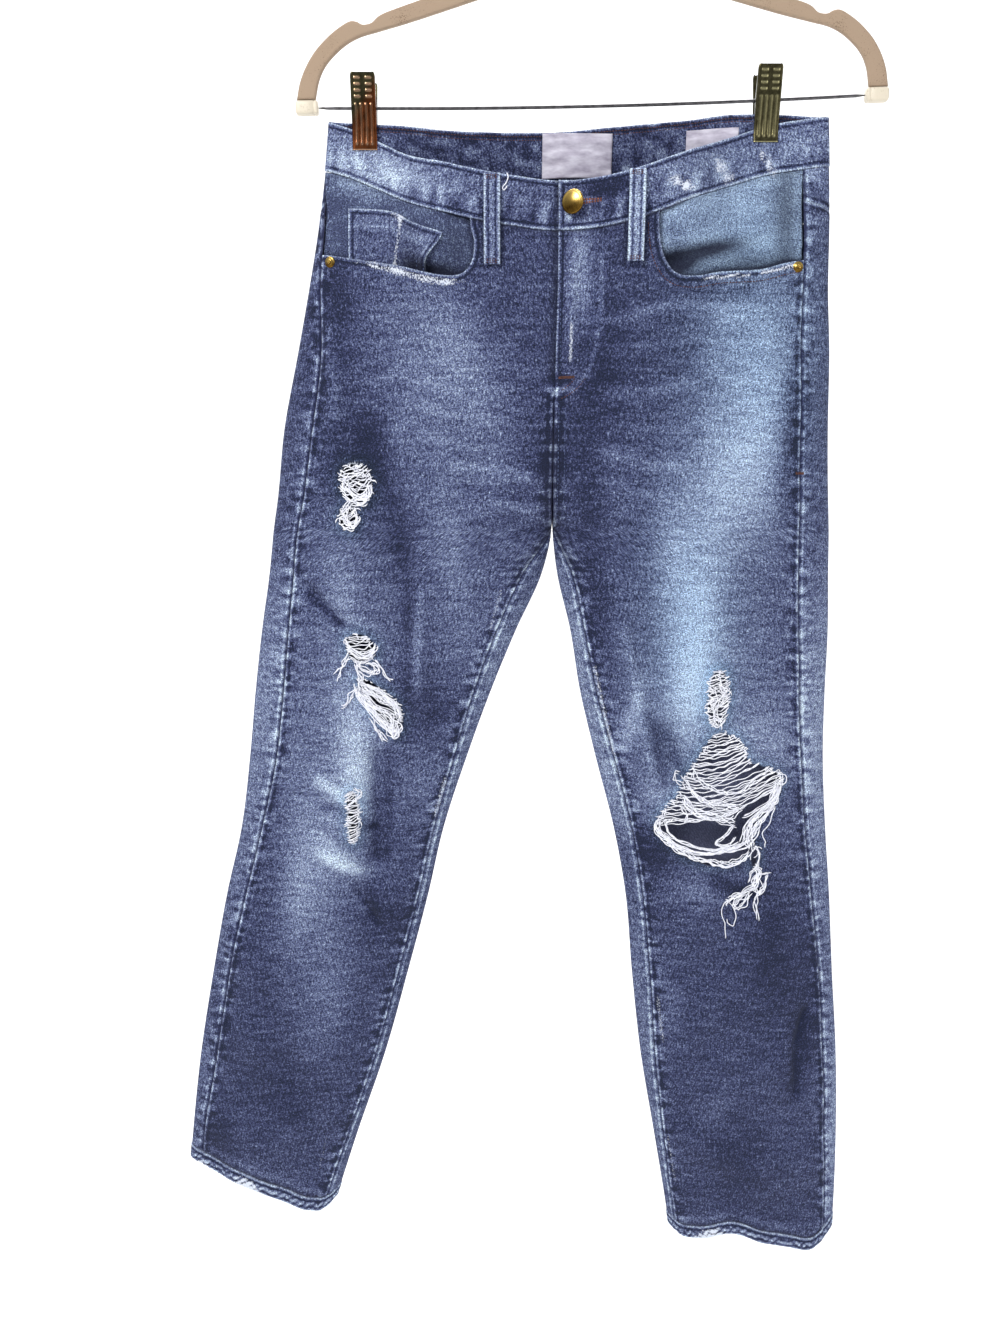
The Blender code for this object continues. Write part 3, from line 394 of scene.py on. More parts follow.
def denim(name, tones=("1a2037", "34395a", "5d6685", "8d99b2", "bccbda"), inside="737890"):
    """Washed twill. It reads what each piece's mesh carries: cloth is the place on the cloth in millimetres
    and 1 on the inside, wash is fade, worn to white, shade and bleach tint, and seams is the distance from
    the side seam, from the inseam and from the nearest worn edge."""
    material, tree, shader = begin_material(name)
    place = add(tree, "Attribute", attribute_name="cloth").outputs["Vector"]
    wash = add(tree, "Attribute", attribute_name="wash")
    seams = add(tree, "Attribute", attribute_name="seams").outputs["Vector"]
    washed = add(tree, "SeparateColor", {0: wash.outputs["Color"]}).outputs
    seam = add(tree, "SeparateXYZ", {0: seams}).outputs
    where = add(tree, "SeparateXYZ", {0: place}).outputs

    def mottle(width, height, detail, rough=0.5):
        stretched = add(tree, "Mapping", {"Vector": place, "Scale": (1 / width, 1 / height, 1.0)}).outputs[0]
        return add(tree, "TexNoise", {"Vector": stretched, "Scale": 1.0, "Detail": detail,
                                      "Roughness": rough}).outputs["Fac"]

    def beside(distance, centre, width):
        apart = add(tree, "Math", {0: distance, 1: centre}, operation="SUBTRACT").outputs[0]
        apart = add(tree, "Math", {0: apart}, operation="ABSOLUTE").outputs[0]
        return add(tree, "MapRange", {"Value": apart, "From Min": 0.0, "From Max": width, "To Min": 1.0,
                                      "To Max": 0.0}, interpolation_type="SMOOTHSTEP").outputs[0]

    # Warp threads lie 0.45 mm apart and twill lines 1.1 mm. Both are drawn about twice as coarse, to show.
    grain = mottle(1.3, 1.6, 2.0, 0.6)
    slanted = add(tree, "Mapping", {"Vector": place, "Rotation": (0.0, 0.0, math.radians(28))}).outputs[0]
    twill = add(tree, "TexWave", {"Vector": slanted, "Scale": WAVE_PERIOD / 2.3, "Distortion": 3.0,
                                  "Detail": 1.0, "Detail Scale": 3.0}).outputs["Fac"]
    marks = add(tree, "MapRange", {"Value": mottle(12.0, 6.5, 1.0), "From Min": 0.36, "From Max": 0.64,
                                   "To Min": -0.5, "To Max": 0.5}).outputs[0]
    side_marks = add(tree, "Math", {0: marks, 1: 0.62}, operation="MULTIPLY").outputs[0]
    inseam_marks = add(tree, "Math", {0: marks, 1: 0.68}, operation="MULTIPLY").outputs[0]

    # The wash, the uneven yarns, the broken pale marks along the seams and the lines beside them, pale ones
    # and dark ones of painted shade, add up to one fade.
    layers = [(grain, 1.15), (mottle(2.6, 3.0, 1.0), 0.72), (mottle(1.1, 11.0, 1.0), 0.42),
              (mottle(24.0, 5.0, 3.0), 0.48), (twill, 0.10), (beside(seam["X"], 0.0, 17.0), side_marks),
              (beside(seam["Y"], 2.0, 15.0), inseam_marks)]
    layers += [(beside(seam[axis], distance, width), rise) for axis, distance, width, rise in SEAM_LINES]
    fade = washed["Red"]
    for layer, strength in layers:
        fade = add(tree, "Math", {0: layer, 1: strength, 2: fade}, operation="MULTIPLY_ADD").outputs[0]
    fade = add(tree, "Math", {0: fade, 1: 1.45}, operation="SUBTRACT").outputs[0]
    colour = add(tree, "ValToRGB", {0: fade}, stops=list(zip(TONE_STOPS, tones))).outputs[0]

    # Over the faded colour come the salt-and-pepper speckle, the bleach, the painted shade in the seams'
    # grooves, the bare weft, the painted shade in hollows and the inside of the cloth.
    speckle = add(tree, "MapRange", {"Value": mottle(0.9, 0.9, 0.0), "From Min": 0.25, "From Max": 0.75,
                                     "To Min": 0.32, "To Max": 1.68}).outputs[0]
    bleached = add(tree, "Math", {0: wash.outputs["Alpha"], 1: 0.8}, operation="MULTIPLY").outputs[0]
    # painted shade in the grooves of the side seam and the inseam
    groove_shade = add(tree, "Math", {0: beside(seam["X"], -0.6, 2.1), 1: beside(seam["Y"], -0.4, 1.5)},
                  operation="MAXIMUM").outputs[0]
    groove_shade = add(tree, "Math", {0: groove_shade, 1: 0.74}, operation="MULTIPLY").outputs[0]
    worn = add(tree, "Math", {0: mottle(1.2, 1.6, 2.0, 0.7), 1: 1.1, 2: washed["Green"]},
               operation="MULTIPLY_ADD").outputs[0]
    worn = add(tree, "MapRange", {"Value": worn, "From Min": 0.95, "From Max": 1.15}).outputs[0]
    white, weft = (add(tree, "Mix", {0: grain, 6: linear(dark), 7: linear(light)},
                       data_type="RGBA", blend_type="MIX").outputs[2]
                   for dark, light in (WORN_WEFT, (INNER_WARP, inside)))
    within = add(tree, "Math", {0: where["Z"], 1: 0.75}, operation="MULTIPLY").outputs[0]
    for share, over, blend in ((1.0, speckle, "MULTIPLY"), (bleached, linear(BLEACHED_BLUE), "COLOR"),
                               (groove_shade, linear(SEAM_GROOVE_SHADE), "MIX"), (worn, white, "MIX"),
                               (washed["Blue"], linear(DEEP_SHADE), "MIX"), (within, weft, "MIX")):
        colour = add(tree, "Mix", {0: share, 6: colour, 7: over},
                     data_type="RGBA", blend_type=blend).outputs[2]

    relief = grain
    for layer, strength in ((twill, 0.5), (worn, 0.8)):
        relief = add(tree, "Math", {0: layer, 1: strength, 2: relief}, operation="MULTIPLY_ADD").outputs[0]
    raised = add(tree, "Bump", {"Height": relief, "Strength": 0.55, "Distance": 0.45 * MM}).outputs[0]
    plug(tree, shader, {"Base Color": colour, "Normal": raised, "Roughness": 0.92, "Specular IOR Level": 0.2,
                        "Sheen Weight": 0.04, "Sheen Roughness": 0.6})
    return material


# height and how faded the cloth is there
FADE_BASE = {
    "front": [(-236, 0.30), (-300, 0.22), (-420, 0.21), (-560, 0.28), (-700, 0.37), (-860, 0.22),
              (-960, 0.18), (-1100, 0.20), (-1220, 0.15)],
    "back": [(-236, 0.14), (-330, 0.24), (-420, 0.34), (-520, 0.26), (-700, 0.22), (-900, 0.18),
             (-1220, 0.12)],
}

# soft areas: centre (x, height), half width, half height, lean in degrees and how pale, or dark below 0; the
# dark ones are partly wash and partly painted shade of folds and hollows
FADES = {
    "front": [
        (-118, -400, 38, 62, 28, 0.24), (-122, -475, 62, 62, 0, 0.10), (-90, -420, 14, 60, 20, 0.12),
        (-196, -388, 15, 62, -6, -0.20), (-180, -490, 20, 32, 0, -0.30), (-104, -560, 16, 60, 8, 0.16),
        (-193, -590, 16, 46, 6, 0.22), (-132, -690, 38, 34, 0, -0.24), (-184, -690, 22, 42, 8, 0.30),
        (-188, -752, 15, 42, 2, 0.46), (-198, -822, 25, 11, -32, 0.30), (-221, -830, 24, 92, -6, 0.26),
        (-244, -850, 14, 70, -6, 0.22), (-162, -880, 24, 26, 0, -0.12), (-222, -960, 22, 60, -14, 0.18),
        (-262, -1050, 34, 44, 25, -0.11), (-328, -1098, 16, 30, 0, -0.18), (-26, -500, 14, 56, 0, -0.24),
        (-160, -272, 42, 17, -14, 0.46), (150, -262, 60, 16, 12, 0.16), (68, -284, 36, 15, 12, 0.22),
        (16, -288, 22, 7, 6, -0.42), (-6, -352, 9, 44, 0, 0.38), (12, -420, 18, 50, 0, -0.20),
        (12, -600, 13, 110, 6, -0.20), (140, -420, 40, 90, 4, 0.46), (100, -385, 18, 46, 0, 0.14),
        (118, -500, 34, 60, 6, 0.38), (166, -466, 14, 60, 0, -0.36), (185, -430, 13, 110, 0, -0.10),
        (190, -610, 12, 90, 0, -0.10), (72, -570, 18, 70, 4, 0.24), (97, -608, 24, 92, 3, 0.40),
        (138, -650, 18, 60, 0, 0.04), (88, -676, 19, 46, -3, 0.34), (43, -702, 7, 44, -14, 0.30),
        (150, -716, 32, 26, 0, 0.20), (76, -775, 24, 32, 0, 0.26), (64, -815, 28, 24, 0, -0.30),
        (50, -860, 15, 40, 4, -0.14), (104, -853, 25, 16, -12, 0.17), (174, -910, 18, 60, 0, -0.18),
        (208, -950, 14, 70, -3, -0.10), (82, -970, 13, 50, 3, 0.12), (135, -1072, 12, 24, 0, 0.12),
        (150, -1120, 26, 50, 14, -0.13), (242, -1000, 6, 180, 2, 0.18),
    ],
    "back": [
        (-114, -430, 56, 60, 0, 0.22), (72, -430, 56, 60, 0, 0.22), (-150, -640, 40, 110, 0, 0.10),
        (110, -640, 40, 110, 0, 0.10), (-190, -780, 40, 60, 0, 0.12), (122, -780, 40, 60, 0, 0.12),
        (-200, -300, 20, 60, 0, -0.12), (180, -300, 20, 60, 0, -0.12),
    ],
}

# whiskers, the pale creases fanned out from the crotch and behind the knees, and below 0 dark lines of
# painted shade in creases and fold hollows: ends, half width and how pale
WHISKERS = {
    "front": [
        (-112, -486, -34, -502, 4.4, 0.12), (-108, -500, -40, -511, 4.0, 0.10),
        (-78, -520, -33, -527, 4.0, 0.12), (-150, -440, -60, -462, 4.0, 0.08),
        (-160, -462, -70, -480, 4.0, 0.08), (-165, -420, -90, -438, 4.0, 0.07),
        (-2, -388, 92, -364, 4.0, 0.12), (2, -408, 96, -392, 4.0, 0.08), (4, -440, 92, -429, 4.0, 0.11),
        (6, -462, 90, -462, 4.0, 0.08), (4, -479, 86, -496, 4.0, 0.12), (8, -500, 70, -522, 4.0, 0.10),
        (10, -330, 10, -385, 2.4, 0.24), (10, -385, 2, -420, 2.4, 0.24), (2, -420, -14, -437, 2.4, 0.24),
        (-236, -560, -230, -640, 2.5, 0.10), (-172, -455, -142, -560, 12, -0.16),
        (-149, -542, -137, -623, 8, -0.12), (118, -843, 156, -859, 6, -0.26),
        (-226, -590, -194, -622, 3.4, -0.34), (-232, -584, -196, -614, 2.2, 0.16),
        (-218, -597, -190, -630, 2.2, 0.14), (-131, -582, -136, -695, 3.0, 0.12),
        (-142, -600, -143, -690, 6, -0.12), (-159, -712, -167, -838, 6.0, -0.18),
        (-180, -850, -172, -886, 4.0, -0.20), (-221, -748, -198, -762, 4.0, 0.18),
        (-194, -788, -170, -797, 3.0, -0.20), (62, -700, 74, -762, 6.0, -0.20),
    ],
    "back": [
        (-60, -505, -165, -563, 4.0, 0.14), (10, -505, 110, -563, 4.0, 0.14),
        (-135, -752, -240, -776, 4.0, 0.16), (62, -757, 165, -780, 4.0, 0.16),
        (-150, -800, -252, -812, 4.0, 0.18), (76, -806, 180, -800, 4.0, 0.18),
        (-165, -846, -268, -842, 4.0, 0.14), (80, -850, 190, -858, 4.0, 0.14),
    ],
}

# places of the front rubbed through to the white weft: ends, half width and strength
RUBBED = [
    (-182, -338.5, -160, -341.5, 2.8, 0.37), (-163, -342, -143, -346, 3.4, 0.37),
    (-144, -346, -126, -352, 3.8, 0.34), (-122, -352, -108, -355, 3.8, 0.37),
    (-106, -354, -92, -354, 3.1, 0.34), (-162, -345, -100, -357, 7.2, 0.15),
    (82, -352.5, 128, -348, 2.7, 0.58), (128, -348, 162, -340.5, 2.7, 0.62),
    (-64, -584, -76, -630, 2.4, 0.42), (-112, -748, -124, -792, 3.6, 0.44),
    (9, -640, 34, -748, 2.8, 0.46), (44, -790, 50, -812, 5.0, 0.34), (74, -950, 82, -1010, 2.6, 0.44),
    (88, -1092, 100, -1160, 2.2, 0.38), (-226, -1096, -238, -1146, 2.2, 0.36),
    (-12, -380, -13, -418, 2.2, 0.52), (-26, -440, -27, -480, 3.0, 0.28),
    (50, -281, 82, -288, 3.2, 0.46), (64, -278, 76, -292, 3.6, 0.42), (94, -263, 104, -280, 5.0, 0.56),
    (104, -266, 113, -280, 3.6, 0.40), (132, -258, 142, -274, 4.2, 0.60),
    (-190, -760, -192, -806, 5.5, 0.46), (-182, -488, -184, -520, 7.0, 0.30),
    (112, -656, 114, -706, 7.0, 0.40),
]


# Sharp creases, under 9 mm in half width, are rubbed pale along their ridges, and their hollows are darker,
# partly unworn and partly painted shade.
CREASES = {layer: [row for row in rows if row[4] < 9] for layer, rows in FOLDS.items()}
CREASE_WEAR_AND_SHADE = 0.055

# The bleach went on the left thigh, in two areas given like the faded ones.
BLEACHED = [(130, -400, 60, 110, 4), (88, -620, 40, 100, 4)]
BLEACH_TINT = 0.5


def round_spot(x, height, centre_x, centre_z, half_x, half_z, lean):
    """1 at the centre of a soft oval spot, its long axis leaning by some degrees, falling to 0 around it."""
    cosine, sine = math.cos(math.radians(lean)), math.sin(math.radians(lean))
    across = (x - centre_x) * cosine + (height - centre_z) * sine
    along = (height - centre_z) * cosine - (x - centre_x) * sine
    return np.exp(-(across / half_x) ** 2 - (along / half_z) ** 2)


def painted(layer, x, height, fade=0.0, wear=0.0, shade=0.0, tint=0.0):
    """The wash of a piece at each of its points: faded, worn to white, given painted shade and tinted by the
    bleach. The darker parts of its fade are partly painted shade as well.
    """
    fade = fade + smooth_curve(FADE_BASE[layer], height) + 0 * (x * height)
    for *spot, rise in FADES[layer]:
        fade = fade + rise * round_spot(x, height, *spot)
    fade = fade + lines(WHISKERS[layer], x, height) + CREASE_WEAR_AND_SHADE * lines(CREASES[layer], x, height)
    if layer == "front":
        tint = tint + BLEACH_TINT * sum(round_spot(x, height, *spot) for spot in BLEACHED)
        wear = wear + lines(RUBBED, x, height)
    return np.stack(np.broadcast_arrays(fade, wear, shade, tint), axis=-1).astype(float)


def put(name, data):
    """Place a new object with this data in the scene."""
    thing = bpy.data.objects.new(name, data)
    bpy.context.scene.collection.objects.link(thing)
    return thing


def make_mesh(name, vertices, faces, finish, stands_for=(), layers=None):
    """Make a mesh object from points in millimetres and give it its finish, its body and the node it stands
    for. Each of its layers is a value of three or, for a wash, four numbers at every point."""
    mesh = bpy.data.meshes.new(name)
    mesh.from_pydata((np.asarray(vertices) * MM).tolist(), [], [list(face) for face in faces])
    for key, values in (layers or {}).items():
        kind, field = ("FLOAT_COLOR", "color") if values.shape[-1] == 4 else ("FLOAT_VECTOR", "vector")
        mesh.attributes.new(key, kind, "POINT").data.foreach_set(field, values.astype(float).ravel())
    mesh.shade_smooth()
    mesh.materials.append(finish)
    piece = put(name, mesh)
    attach(piece, "root")
    if stands_for:
        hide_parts(*stands_for)
    return piece


def unit(vectors):
    """The same directions at a length of 1."""
    return vectors / np.maximum(np.linalg.norm(vectors, axis=-1, keepdims=True), 1e-9)


def along_rows(points):
    """Distance along the cloth from each row's first point, and from its last."""
    steps = np.linalg.norm(np.diff(points, axis=1), axis=-1)
    first = np.concatenate([np.zeros((len(points), 1)), np.cumsum(steps, axis=1)], axis=1)
    return first, first[:, -1:] - first


def up_columns(points):
    """Distance up the cloth from each column's first point, and down from its last."""
    first, last = along_rows(np.swapaxes(points, 0, 1))
    return first.T, last.T


def shell(points, wall, outward=1, ring=False, keep=None):
    """Give a surface two faces, a wall's thickness apart, with a rim round every edge. It returns the outer
    face, its normals, and the points and faces of the whole."""
    along = np.gradient(points, axis=1)
    if ring:
        along = (np.roll(points, -1, axis=1) - np.roll(points, 1, axis=1)) / 2
    normal = unit(np.cross(along, np.gradient(points, axis=0)) * outward)
    half = np.broadcast_to(np.asarray(wall) / 2, points.shape[:2])[..., None]
    outer, inner = points + normal * half, points - normal * half
    count = points.shape[0] * points.shape[1]
    index = np.arange(count).reshape(points.shape[:2])
    after = np.roll(index, -1, axis=1)
    quads = np.stack([index[:-1], after[:-1], after[1:], index[1:]], axis=-1)
    if not ring:
        quads = quads[:, :-1]
    quads = quads.reshape(-1, 4) if keep is None else quads[keep]
    if outward < 0:
        quads = quads[:, ::-1]
    edges = np.concatenate([quads[:, [k, (k + 1) % 4]] for k in range(4)])
    rim = edges[~np.isin(edges[:, 0] * count + edges[:, 1], edges[:, 1] * count + edges[:, 0])]
    rim = np.stack([rim[:, 1], rim[:, 0], rim[:, 0] + count, rim[:, 1] + count], axis=-1)
    vertices = np.concatenate([outer.reshape(-1, 3), inner.reshape(-1, 3)])
    return outer, normal, vertices, np.concatenate([quads, quads[:, ::-1] + count, rim])


FAR = 999.0               # farther from a seam than any of its marks
faces_of = {}


def cloth(name, points, wall, wash, finish, stands_for, seams=None,
          keep=None, ring=False, outward=1, inner_wash=None):
    """A sewn piece, from its middle surface. With inner_wash the inside is a face of the denim too."""
    outer, normal, vertices, faces = shell(points, wall, outward, ring, keep)
    faces_of[name] = (outer, normal)
    count = len(vertices) // 2
    across = along_rows(points)[0]
    across -= across[:, points.shape[1] // 2][:, None]
    place = np.stack([across, points[:, :, 2]], axis=-1).reshape(-1, 2)
    inside = np.full(count, 1.0 if inner_wash is None else 0.0)
    place = np.concatenate([np.column_stack([place, np.zeros(count)]), np.column_stack([place, inside])])
    seams = np.full((count, 3), FAR) if seams is None else np.asarray(seams).reshape(-1, 3)
    inner_wash = wash if inner_wash is None else inner_wash
    wash = np.concatenate([wash.reshape(-1, 4), inner_wash.reshape(-1, 4)])
    used = np.unique(faces)
    lookup = np.zeros(2 * count, dtype=int)
    lookup[used] = np.arange(len(used))
    layers = {"cloth": place[used], "wash": wash[used], "seams": np.concatenate([seams, seams])[used]}
    piece = make_mesh(name, vertices[used], lookup[faces], finish, stands_for, layers)


# ---------------------------------------------------------------- front panels
# Two fronts, cut on the straight grain, with a scooped pocket mouth each and torn by hand at the knees and
# thighs. Each mouth's edge is turned under and stitched twice, and the left front laps over the right at the
# fly.
BAND_HEIGHT = 35.0
BAND_GAP = 0.5            # between the panels and the waistband's lower edge
HEM_HEIGHT = 13.0
HEM_GAP = 0.5             # between the panels and the hems' upper edge
PANEL_GAP = 0.25          # between two panels at a seam
LAY_GAP = 0.4             # between pieces that lie on each other
FLY_BOTTOM = -425.0
FLY_LAP = 7.0
NEAR_HEM = -1160.0        # heights to start from when an edge is worked out
NEAR_BAND = -300.0
MOST_SHADE = 0.9
# middle and lower end of each front belt loop, whose shade falls on the cloth beside it
LOOP_SHADOWS = ((-72.5, -343.0), (35.5, -341.0))

# the pocket mouths (x, height), from past the side seam, round the scoop and up past the waistband
POCKET_MOUTH = {
    "right": [(-225, -332), (-202, -333), (-172, -338), (-142, -343), (-114, -349), (-97, -349), (-88, -340),
              (-86, -325), (-89, -309), (-90, -250), (-225, -230)],
    "left": [(190, -334), (168, -337), (150, -340), (130, -345), (100, -347), (82, -350), (67, -348),
             (58, -337), (54, -322), (53, -304), (53, -225), (190, -215)],
}

# the torn holes (x, height), named for where they are
RIPS = {
    "right": {
        "thigh_upper": [(-190, -492), (-178, -490), (-170, -496), (-168, -508), (-172, -519), (-184, -520),
                        (-192, -508)],
        "thigh_lower": [(-191, -524), (-182, -523), (-181, -532), (-184, -541), (-192, -540), (-194, -532)],
        "above_knee": [(-191, -629), (-180, -627), (-171, -632), (-169, -642), (-178, -649), (-190, -643)],
        "knee_slant": [(-183, -664), (-170, -668), (-152, -684), (-148, -700), (-153, -710), (-163, -703),
                       (-174, -687)],
        "knee_slit": [(-195, -764), (-190, -762), (-187, -780), (-189, -802), (-193, -806), (-195, -790)],
    },
    "left": {
        "knee_upper": [(108, -660), (117, -657), (121, -672), (121, -690), (117, -703), (109, -700),
                       (106, -684)],
        "knee": [(114, -711), (134, -717), (143, -735), (160, -741), (172, -752), (166, -768), (149, -791),
                 (146, -815), (126, -828), (101, -825), (81, -811), (69, -790), (85, -765), (96, -741)],
        "knee_tail": [(150, -811), (154, -812), (154, -826), (151, -829), (149, -822)],
    },
}


def between(corners, t):
    """The smooth curve through four corners, at a share t of the way from the second to the third."""
    p0, p1, p2, p3 = corners
    return 0.5 * (2 * p1 + (p2 - p0) * t + (2 * p0 - 5 * p1 + 4 * p2 - p3) * t ** 2
                  + (3 * p1 - p0 - 3 * p2 + p3) * t ** 3)


def smooth_outline(points, steps):
    """A closed outline with a smooth curve through its points."""
    points = np.array(points, float)
    corners = [np.repeat(np.roll(points, 1 - k, axis=0), steps, axis=0) for k in range(4)]
    return between(corners, np.tile(np.arange(steps) / steps, len(points))[:, None])


def from_outline(outline, x, height):
    """Distance from a closed outline, negative inside it, and the nearest point on it."""
    best = np.full(x.shape, np.inf)
    near_x = np.zeros(x.shape)
    near_z = np.zeros(x.shape)
    inside = np.zeros(x.shape, dtype=bool)
    for (x0, z0), (x1, z1) in zip(outline, np.roll(outline, -1, axis=0)):
        run, rise = x1 - x0, z1 - z0
        t = np.clip(((x - x0) * run + (height - z0) * rise) / max(run * run + rise * rise, 1e-9), 0, 1)
        at_x, at_z = x0 + t * run, z0 + t * rise
        distance = np.hypot(x - at_x, height - at_z)
        closer = distance < best
        best = np.where(closer, distance, best)
        near_x = np.where(closer, at_x, near_x)
        near_z = np.where(closer, at_z, near_z)
        crosses = (z0 > height) != (z1 > height)
        slope = run / rise if rise else 0.0
        inside ^= crosses & (x < x0 + (height - z0) * slope)
    return np.where(inside, -best, best), near_x, near_z


def frayed(outline, amount, seed):
    """The outline with the small teeth of a torn edge."""
    draw = np.random.default_rng(seed)
    away = unit(outline - outline.mean(axis=0))
    return outline + away * draw.uniform(-amount, amount, (len(outline), 1))


mouth_line = {side: smooth_outline(points, 12) for side, points in POCKET_MOUTH.items()}
rip_line = {side: {name: frayed(smooth_outline(points, 6), 0.8, 20 + k)
                   for k, (name, points) in enumerate(rips.items())} for side, rips in RIPS.items()}

face_denim = denim("stone_washed_denim")


def fly_lap(side, x, height):
    """The left front stands off the right one where it laps over it."""
    if side == "right":
        return 0.0
    return (PANEL_WALL + LAY_GAP) * (1 - ease((x - 14) / 34)) * ease((height + 490) / 40)


def mouth_relief(distance):
    """The turned edge of a pocket mouth is two layers thick as far as its second row of stitches."""
    return 0.55 * ease((9.2 - distance) / 1.4) * (distance > -3) - 0.25 * bump(distance - 9.6, 0.9)


def edge_relief(side, x, height):
    """How far a front panel stands out by its pocket mouth, and by its torn edges, which curl outwards a
    little, the lower lip of a hole most."""
    relief = mouth_relief(from_outline(mouth_line[side], x, height)[0])
    for outline in rip_line[side].values():
        curled = 0.6 + 1.6 * ease((outline[:, 1].min() + 30 - height) / 30)
        relief = relief + bump(from_outline(outline, x, height)[0], 5.0) * curled
    return relief


def front_surface(side, x, height, out=0.0):
    """A point of the front panel's middle surface from its x and height, with everything that lifts it."""
    height = np.broadcast_arrays(height, x)[0].astype(float)
    lifted = out + edge_relief(side, x, height)
    at_x, y, z = skin(side, turn_at_x(side, "front", x, height), height, lifted)
    return stack(at_x, y - fly_lap(side, x, height), z)


def spaced(low, high, spacing, fine, fine_low, fine_high):
    """Shares from 0 to 1 between two heights, closer together inside a band."""
    probe = np.linspace(low, high, 2000)
    density = np.where((probe > fine_low) & (probe < fine_high), 1 / fine, 1 / spacing)
    total = np.concatenate([[0], np.cumsum((density[1:] + density[:-1]) / 2 * np.diff(probe))])
    count = int(round(total[-1]))
    return (np.interp(np.linspace(0, total[-1], count + 1), total, probe) - low) / (high - low)


def panel_shares(count):
    """Shares of the way across a panel, closer together beside its seams."""
    edge = np.array([0.0, 0.004, 0.010, 0.018, 0.028])
    return np.concatenate([edge, np.linspace(0.040, 0.960, count), 1 - edge[::-1]])


def panel_edges(side, shares, turn_at_share):
    """Heights of a panel's lower and upper edge along its columns."""
    def turn_at(height):
        return turn_at_share(side, shares, height)

    def bottom(turn, height):
        return hem_height(side, turn, height) + HEM_HEIGHT + HEM_GAP

    def top(turn, height):
        x = skin(side, turn, height)[0]
        edge = np.where(in_front(turn), waist_height("front", x), waist_height("back", x))
        return edge - BAND_HEIGHT - BAND_GAP

    return edge_by_turn(bottom, turn_at, NEAR_HEM), edge_by_turn(top, turn_at, NEAR_BAND)


def panel_heights(low, high, leg, hip):
    """Heights of a panel's rows, from shares of the way up the leg and from there up to its top edge."""
    return np.concatenate([low + (CROTCH_HEIGHT - low) * leg[:-1, None],
                           CROTCH_HEIGHT + (high - CROTCH_HEIGHT) * hip[:, None]])


def front_turn(side, share, height):
    """Turn across the front panel, from its inner edge to the side seam."""
    inner = inner_turn(side, height)
    seam = seam_turn(side, "side_seam", height)
    inner = inner + turn_step(side, inner, height, PANEL_GAP / 2)
    seam = seam - turn_step(side, seam, height, PANEL_GAP / 2)
    return inner + (seam - inner) * share


FINE_BAND = {"right": (-815, -480), "left": (-880, -650)}     # heights between which the rips lie
ROW_SPACING = 1.8         # there, against 2.7 below the crotch and 2.6 above it
SNAP = 3.2                # points this near a cut edge are moved on to it
shares = panel_shares(76)
for side, way in OUTWARDS.items():
    low, high = panel_edges(side, shares, front_turn)
    height = panel_heights(low, high, spaced(NEAR_HEM, CROTCH_HEIGHT, 2.7, ROW_SPACING, *FINE_BAND[side]),
                           spaced(CROTCH_HEIGHT, NEAR_BAND, 2.6, ROW_SPACING, *FINE_BAND[side]))
    turn = front_turn(side, shares, height)
    x, y, z = skin(side, turn, height)
    x, y, z = skin(side, turn, height, edge_relief(side, x, z))
    y = y - fly_lap(side, x, z)
    if side == "right":
        x = x + FLY_LAP * ease((height - FLY_BOTTOM + 16) / 16) * np.clip(1 - shares / 0.2, 0, 1)
    points = stack(x, y, z)

    # the mouth and the rips are left out, and the points round them are moved on to their edges
    cuts = [mouth_line[side], *rip_line[side].values()]
    middle = (points[:-1, :-1] + points[1:, :-1] + points[:-1, 1:] + points[1:, 1:]) / 4
    keep = np.min([from_outline(cut, middle[..., 0], middle[..., 2])[0] for cut in cuts], axis=0) > 0
    padded = np.pad(keep, 1, constant_values=True)
    touched = ~(padded[:-1, :-1] & padded[1:, :-1] & padded[:-1, 1:] & padded[1:, 1:])
    for cut in cuts:
        distance, near_x, near_z = from_outline(cut, points[..., 0], points[..., 2])
        snap = touched & (np.abs(distance) < SNAP)
        points[snap] = front_surface(side, near_x[snap], near_z[snap])

    x, z = points[..., 0], points[..., 2]
    mouth, *rips = (from_outline(cut, x, z)[0] for cut in cuts)
    nearest_rip = np.min(rips, axis=0)
    from_inner, from_side = along_rows(points)
    from_inseam = np.where(z < FLY_BOTTOM + 4, from_inner, FAR)
    edge = np.minimum(np.abs(mouth), np.where((side == "left") & (z > FLY_BOTTOM), from_inner, FAR))
    # painted shade: in the crotch, beside the fly's edge on the right front, under the waistband, beside the
    # belt loops and just above the hem
    crotch = 0.55 * bump(from_inner, 9) * ease((-430 - z) / 60) * ease((z + 600) / 40)
    if side == "right":
        crotch = crotch + 0.65 * bump(from_inner - FLY_LAP - 1, 3.6) * (z > FLY_BOTTOM)
    contact = 0.42 * bump(waist_height("front", x) - BAND_HEIGHT - z, 2.4)
    for loop_x, loop_low in LOOP_SHADOWS:
        contact = contact + 0.45 * bump(np.abs(x - loop_x) - 7.4, 1.8) * ease((z - loop_low + 4) / 4)
    above_hem = z - low
    wash = painted("front", x, z, fade=0.16 * bump(above_hem - 7, 4), wear=0.34 * bump(nearest_rip, 1.3),
                   shade=np.clip(crotch + contact + 0.42 * bump(above_hem, 2.6), 0, MOST_SHADE),
                   tint=0.5 * bump(nearest_rip, 7))
    name = side + "_front"
    cloth(name + "_cloth", points, PANEL_WALL, wash, face_denim, [name], keep=keep,
          seams=np.stack([from_side, from_inseam, edge], axis=-1), outward=way)


# ---------------------------------------------------------------- backs and yokes
# Two backs with a shaped yoke above each, joined by flat-felled seams. The backs wrap forward round both
# folds, so a strip of each shows from the front, outside the side seam and inside the inseam.
YOKE_SIDE = 0.918         # share of the way up from the crotch at which its seam meets the side seam
YOKE_DROP = 68.0          # how far it is below the waistband at the centre
YOKE_GAP = 0.4


